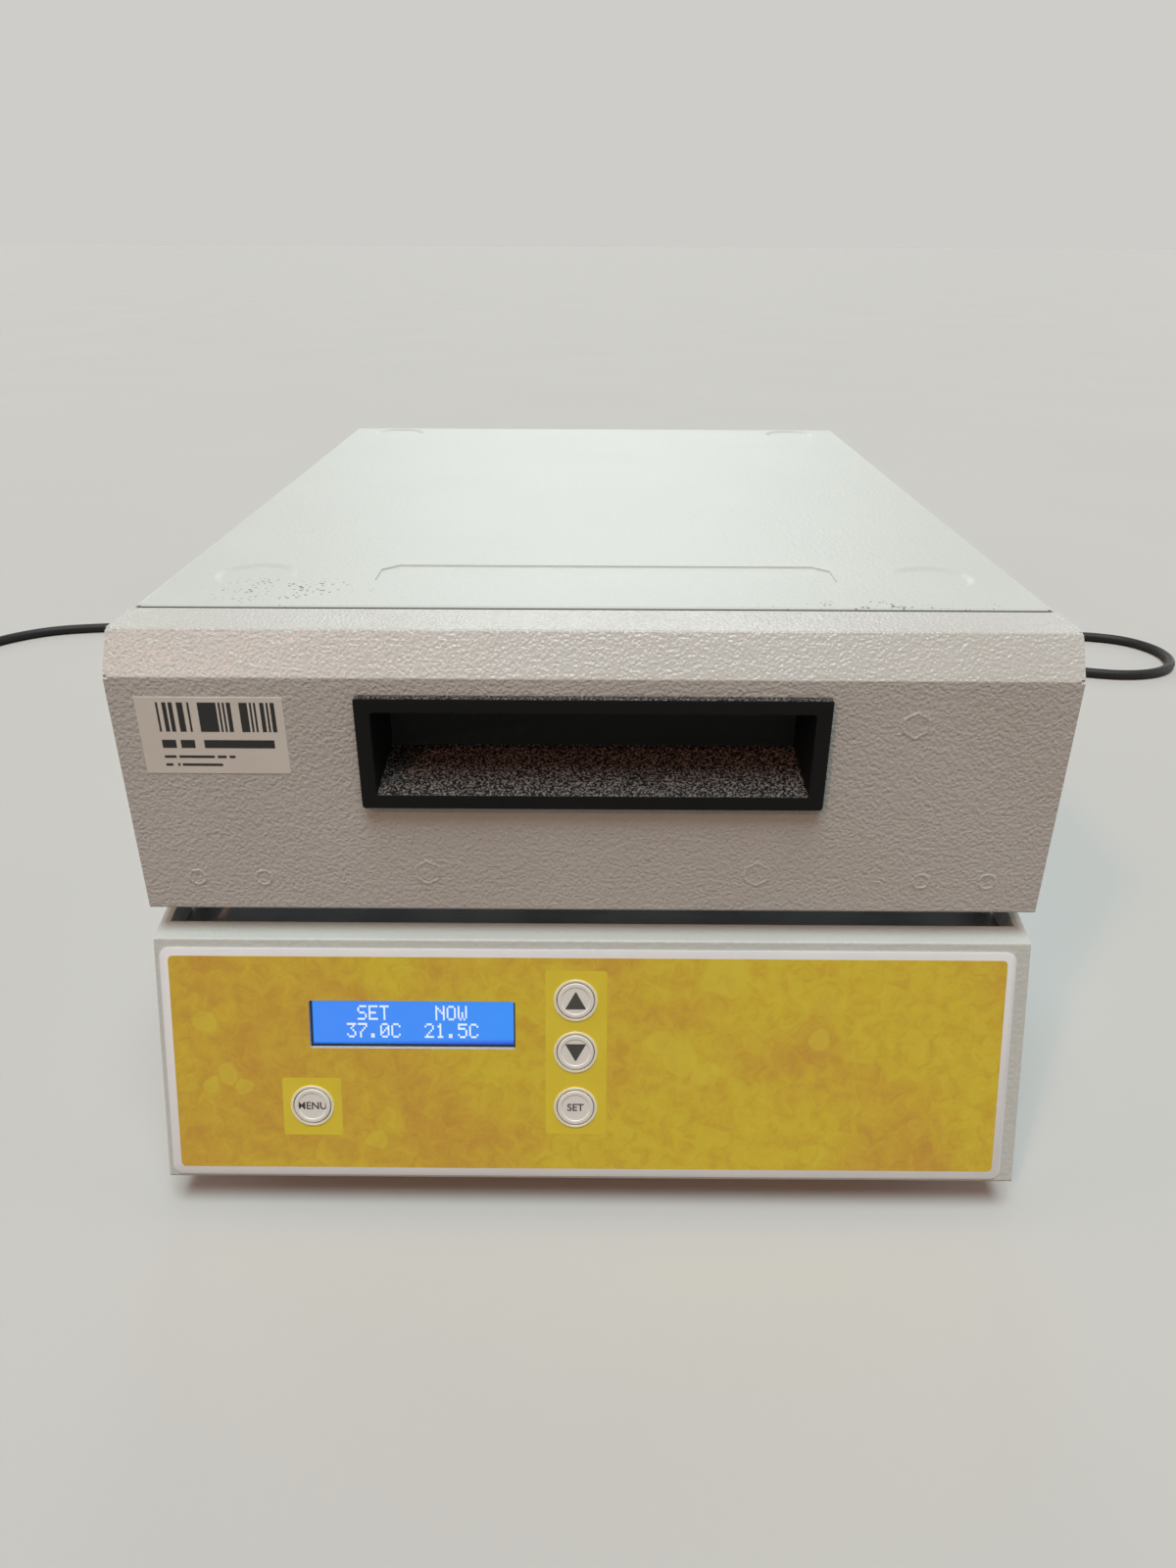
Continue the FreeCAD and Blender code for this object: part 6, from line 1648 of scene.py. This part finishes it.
    @staticmethod
    def mark(x: float, z: float, radius: float, sides: int) -> Piece:
        """Make one low ring: a disc with its middle pressed in and its rim rounded.

        Args:
            x: Its middle across the door.
            z: Its middle up the door.
            radius: The rim's outer radius.
            sides: 6 for a post's mark, more for a round one.

        Returns:
            The piece.
        """
        sunk, proud, rim, pressed = -0.08 * MM, 0.13 * MM, 0.85 * MM, -0.17 * MM
        mark = Piece.round("weld_marks", "z", (x, z), (sunk, proud), radius, sides=sides)
        mark.inset(rim, facing_out)
        mark.push((0, 0, pressed), lambda m, n: facing_out(m, n) and abs(m.x - x) < 0.1 * MM
                  and abs(m.y - z) < 0.1 * MM)
        return mark.edge(0.1 * MM, 3, 40)

    def label_bars(self) -> None:
        """Print plain bars and broken lines on the white label: strips of cells, some of them left out."""
        rng = random.Random(self.seed)
        dark = [rng.random() < self.bar_share for _ in range(self.bar_places)]
        left, right = self.label_left + self.margins[0], self.label_right - self.margins[1]
        top = self.label_top - self.margins[2]
        bars = Piece.grid("label_bars", left, top, self.label_proud, self.bar, (self.bar_places, 1))
        bars.drop(lambda m, n: not dark[int((m.x - left) / self.bar[0])])
        for down, share, height in self.label_lines:
            step = share * (right - left) / self.line_places
            line = Piece.grid("label_line", left, self.label_top - down * MM, self.label_proud,
                              (step, height * MM), (self.line_places, 1))
            spaces = {int(rng.random() * 20) + 2 for _ in range(3)}
            line.drop(lambda m, n: int((m.x - left) / step) in spaces)
            bars.join(line)
        bars.push((0, 0, self.ink)).stand(DOOR_PLANE).dress(Finishes.LABEL_INK).settle(DOOR, "white_paper")


@dataclass
class RearFittings:
    """What shows on the back: the screws' heads and the switch's mark."""

    face_y: float = 192.4 * MM
    head_radius: float = 2.9 * MM
    head_proud: float = 1.75 * MM
    crown_radius: float = 1.8 * MM
    # The cross in each head: its floor, its arms' half length and their half width.
    cross: tuple[float, float, float] = (0.9 * MM, 1.5 * MM, 0.3 * MM)
    mark_low: tuple[float, float, float] = (39.65 * MM, 194.38 * MM, 48.8 * MM)
    mark_high: tuple[float, float, float] = (40.35 * MM, 194.45 * MM, 52.2 * MM)
    # The screws, across and up the back in millimetres.
    screw_spots: tuple[tuple[float, float], ...] = (
        (134.2, 57.0), (134.2, 147.0), (-134.2, 57.0), (-134.2, 147.0), (70.0, 186.5), (-70.0, 186.5),
    )

    def build(self) -> None:
        """Make the fittings."""
        self.screws()
        self.switch_mark()

    def screws(self) -> None:
        """Make round-headed screws with a cross in each head: one, and its copies."""
        first = Piece.round("screw_head", "y", (0, 0), (0, self.head_proud), self.head_radius,
                            self.crown_radius, 32)
        first.edge(0.5 * MM, 3, 20)
        floor, long, narrow = self.cross
        first.cut(*[Piece.block("cutter", (-half_x, floor, -half_z), (half_x, 3 * MM, half_z))
                    for half_x, half_z in ((long, narrow), (narrow, long))])
        heads = [first.copy("rear_screw_heads", (x * MM, self.face_y, z * MM)) for x, z in self.screw_spots]
        first.discard()
        heads[0].join(*heads[1:]).dress(Finishes.FIXING).settle(OVEN, "bright_steel", "rear_screws")

    def switch_mark(self) -> None:
        """Mark the rocker's flat half with a short line."""
        line = Piece.block("switch_on_mark", self.mark_low, self.mark_high).bevel(0.2 * MM, 3, lengthwise)
        line.dress(Finishes.PALE_MARK).settle("rocker", "black_plastic")


class CarriedNodes:
    """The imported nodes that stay, each with the finish of what it is made of."""

    finishes: dict[Finishes, tuple[str, ...]] = {
        Finishes.CASE: ("cabinet_wrapper", "front_casing", "rear_panel"),
        # The door wears the case's powder tinted warmer, as painted warm light on its front.
        Finishes.DOOR_PAINT: ("door_shell",),
        Finishes.PLATED: ("lower_pan", "front_frame", "deck_plate", "trough_pan", "power_supply",
                          "hinge_arms", "hinge_leaves"),
        Finishes.STAINLESS: ("chamber_liner", "tray_rails", "door_inner_panel", "strike_plates"),
        Finishes.FIXING: ("hinge_pins", "hinge_studs", "door_standoffs", "door_screws", "cover_screws",
                          "rear_screws", "foot_screws", "temperature_probe", "thermal_cutout"),
        Finishes.ABS_BLACK: ("handle_cup", "mains_inlet", "fuse_drawer", "switch_housing", "power_rocker"),
        Finishes.BEZEL_BLACK: ("display_bezel",),
        Finishes.NYLON_BLACK: ("handle_clips", "heater_relay", "terminal_block", "board_standoffs"),
        Finishes.KEY_CAP: ("up_key", "down_key", "set_key", "menu_key", "key_switches"),
        Finishes.FILM_BORDER: ("graphic_overlay",),
        Finishes.WINDOW: ("display_window",),
        Finishes.DISPLAY: ("display_glass",),
        Finishes.BOARD: ("display_board", "control_board"),
        Finishes.WOOL: ("bottom_insulation", "top_insulation", "side_insulation", "back_insulation",
                        "door_insulation"),
        Finishes.SILICONE: ("door_gasket", "heater_mats"),
        Finishes.FOOT_RUBBER: ("feet",),
        Finishes.PVC_BLACK: ("power_cord", "power_cord_coil", "mains_connector", "mains_plug"),
        Finishes.BRASS: ("inlet_blades",),
        Finishes.PAPER: ("blank_label",),
        Finishes.FUSE_GLASS: ("fuses",),
        Finishes.MAGNET: ("magnet_catches",),
    }

    def build(self) -> None:
        """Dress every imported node."""
        for finish, names in self.finishes.items():
            for name in names:
                wear(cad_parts[name], finish)
        missed = set(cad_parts) - {name for names in self.finishes.values() for name in names}
        if missed:
            raise RuntimeError(f"no finish for {sorted(missed)}")
        log.info("%d packed nodes dressed", len(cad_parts))


def main() -> None:
    """Build the view, the lead and every other piece."""
    Camera().build()
    MainsLead().build()
    CarriedNodes().build()
    ControlPanel().build()
    DoorFront().build()
    RearFittings().build()
    Studio().build()


if __name__ == "__main__":
    main()
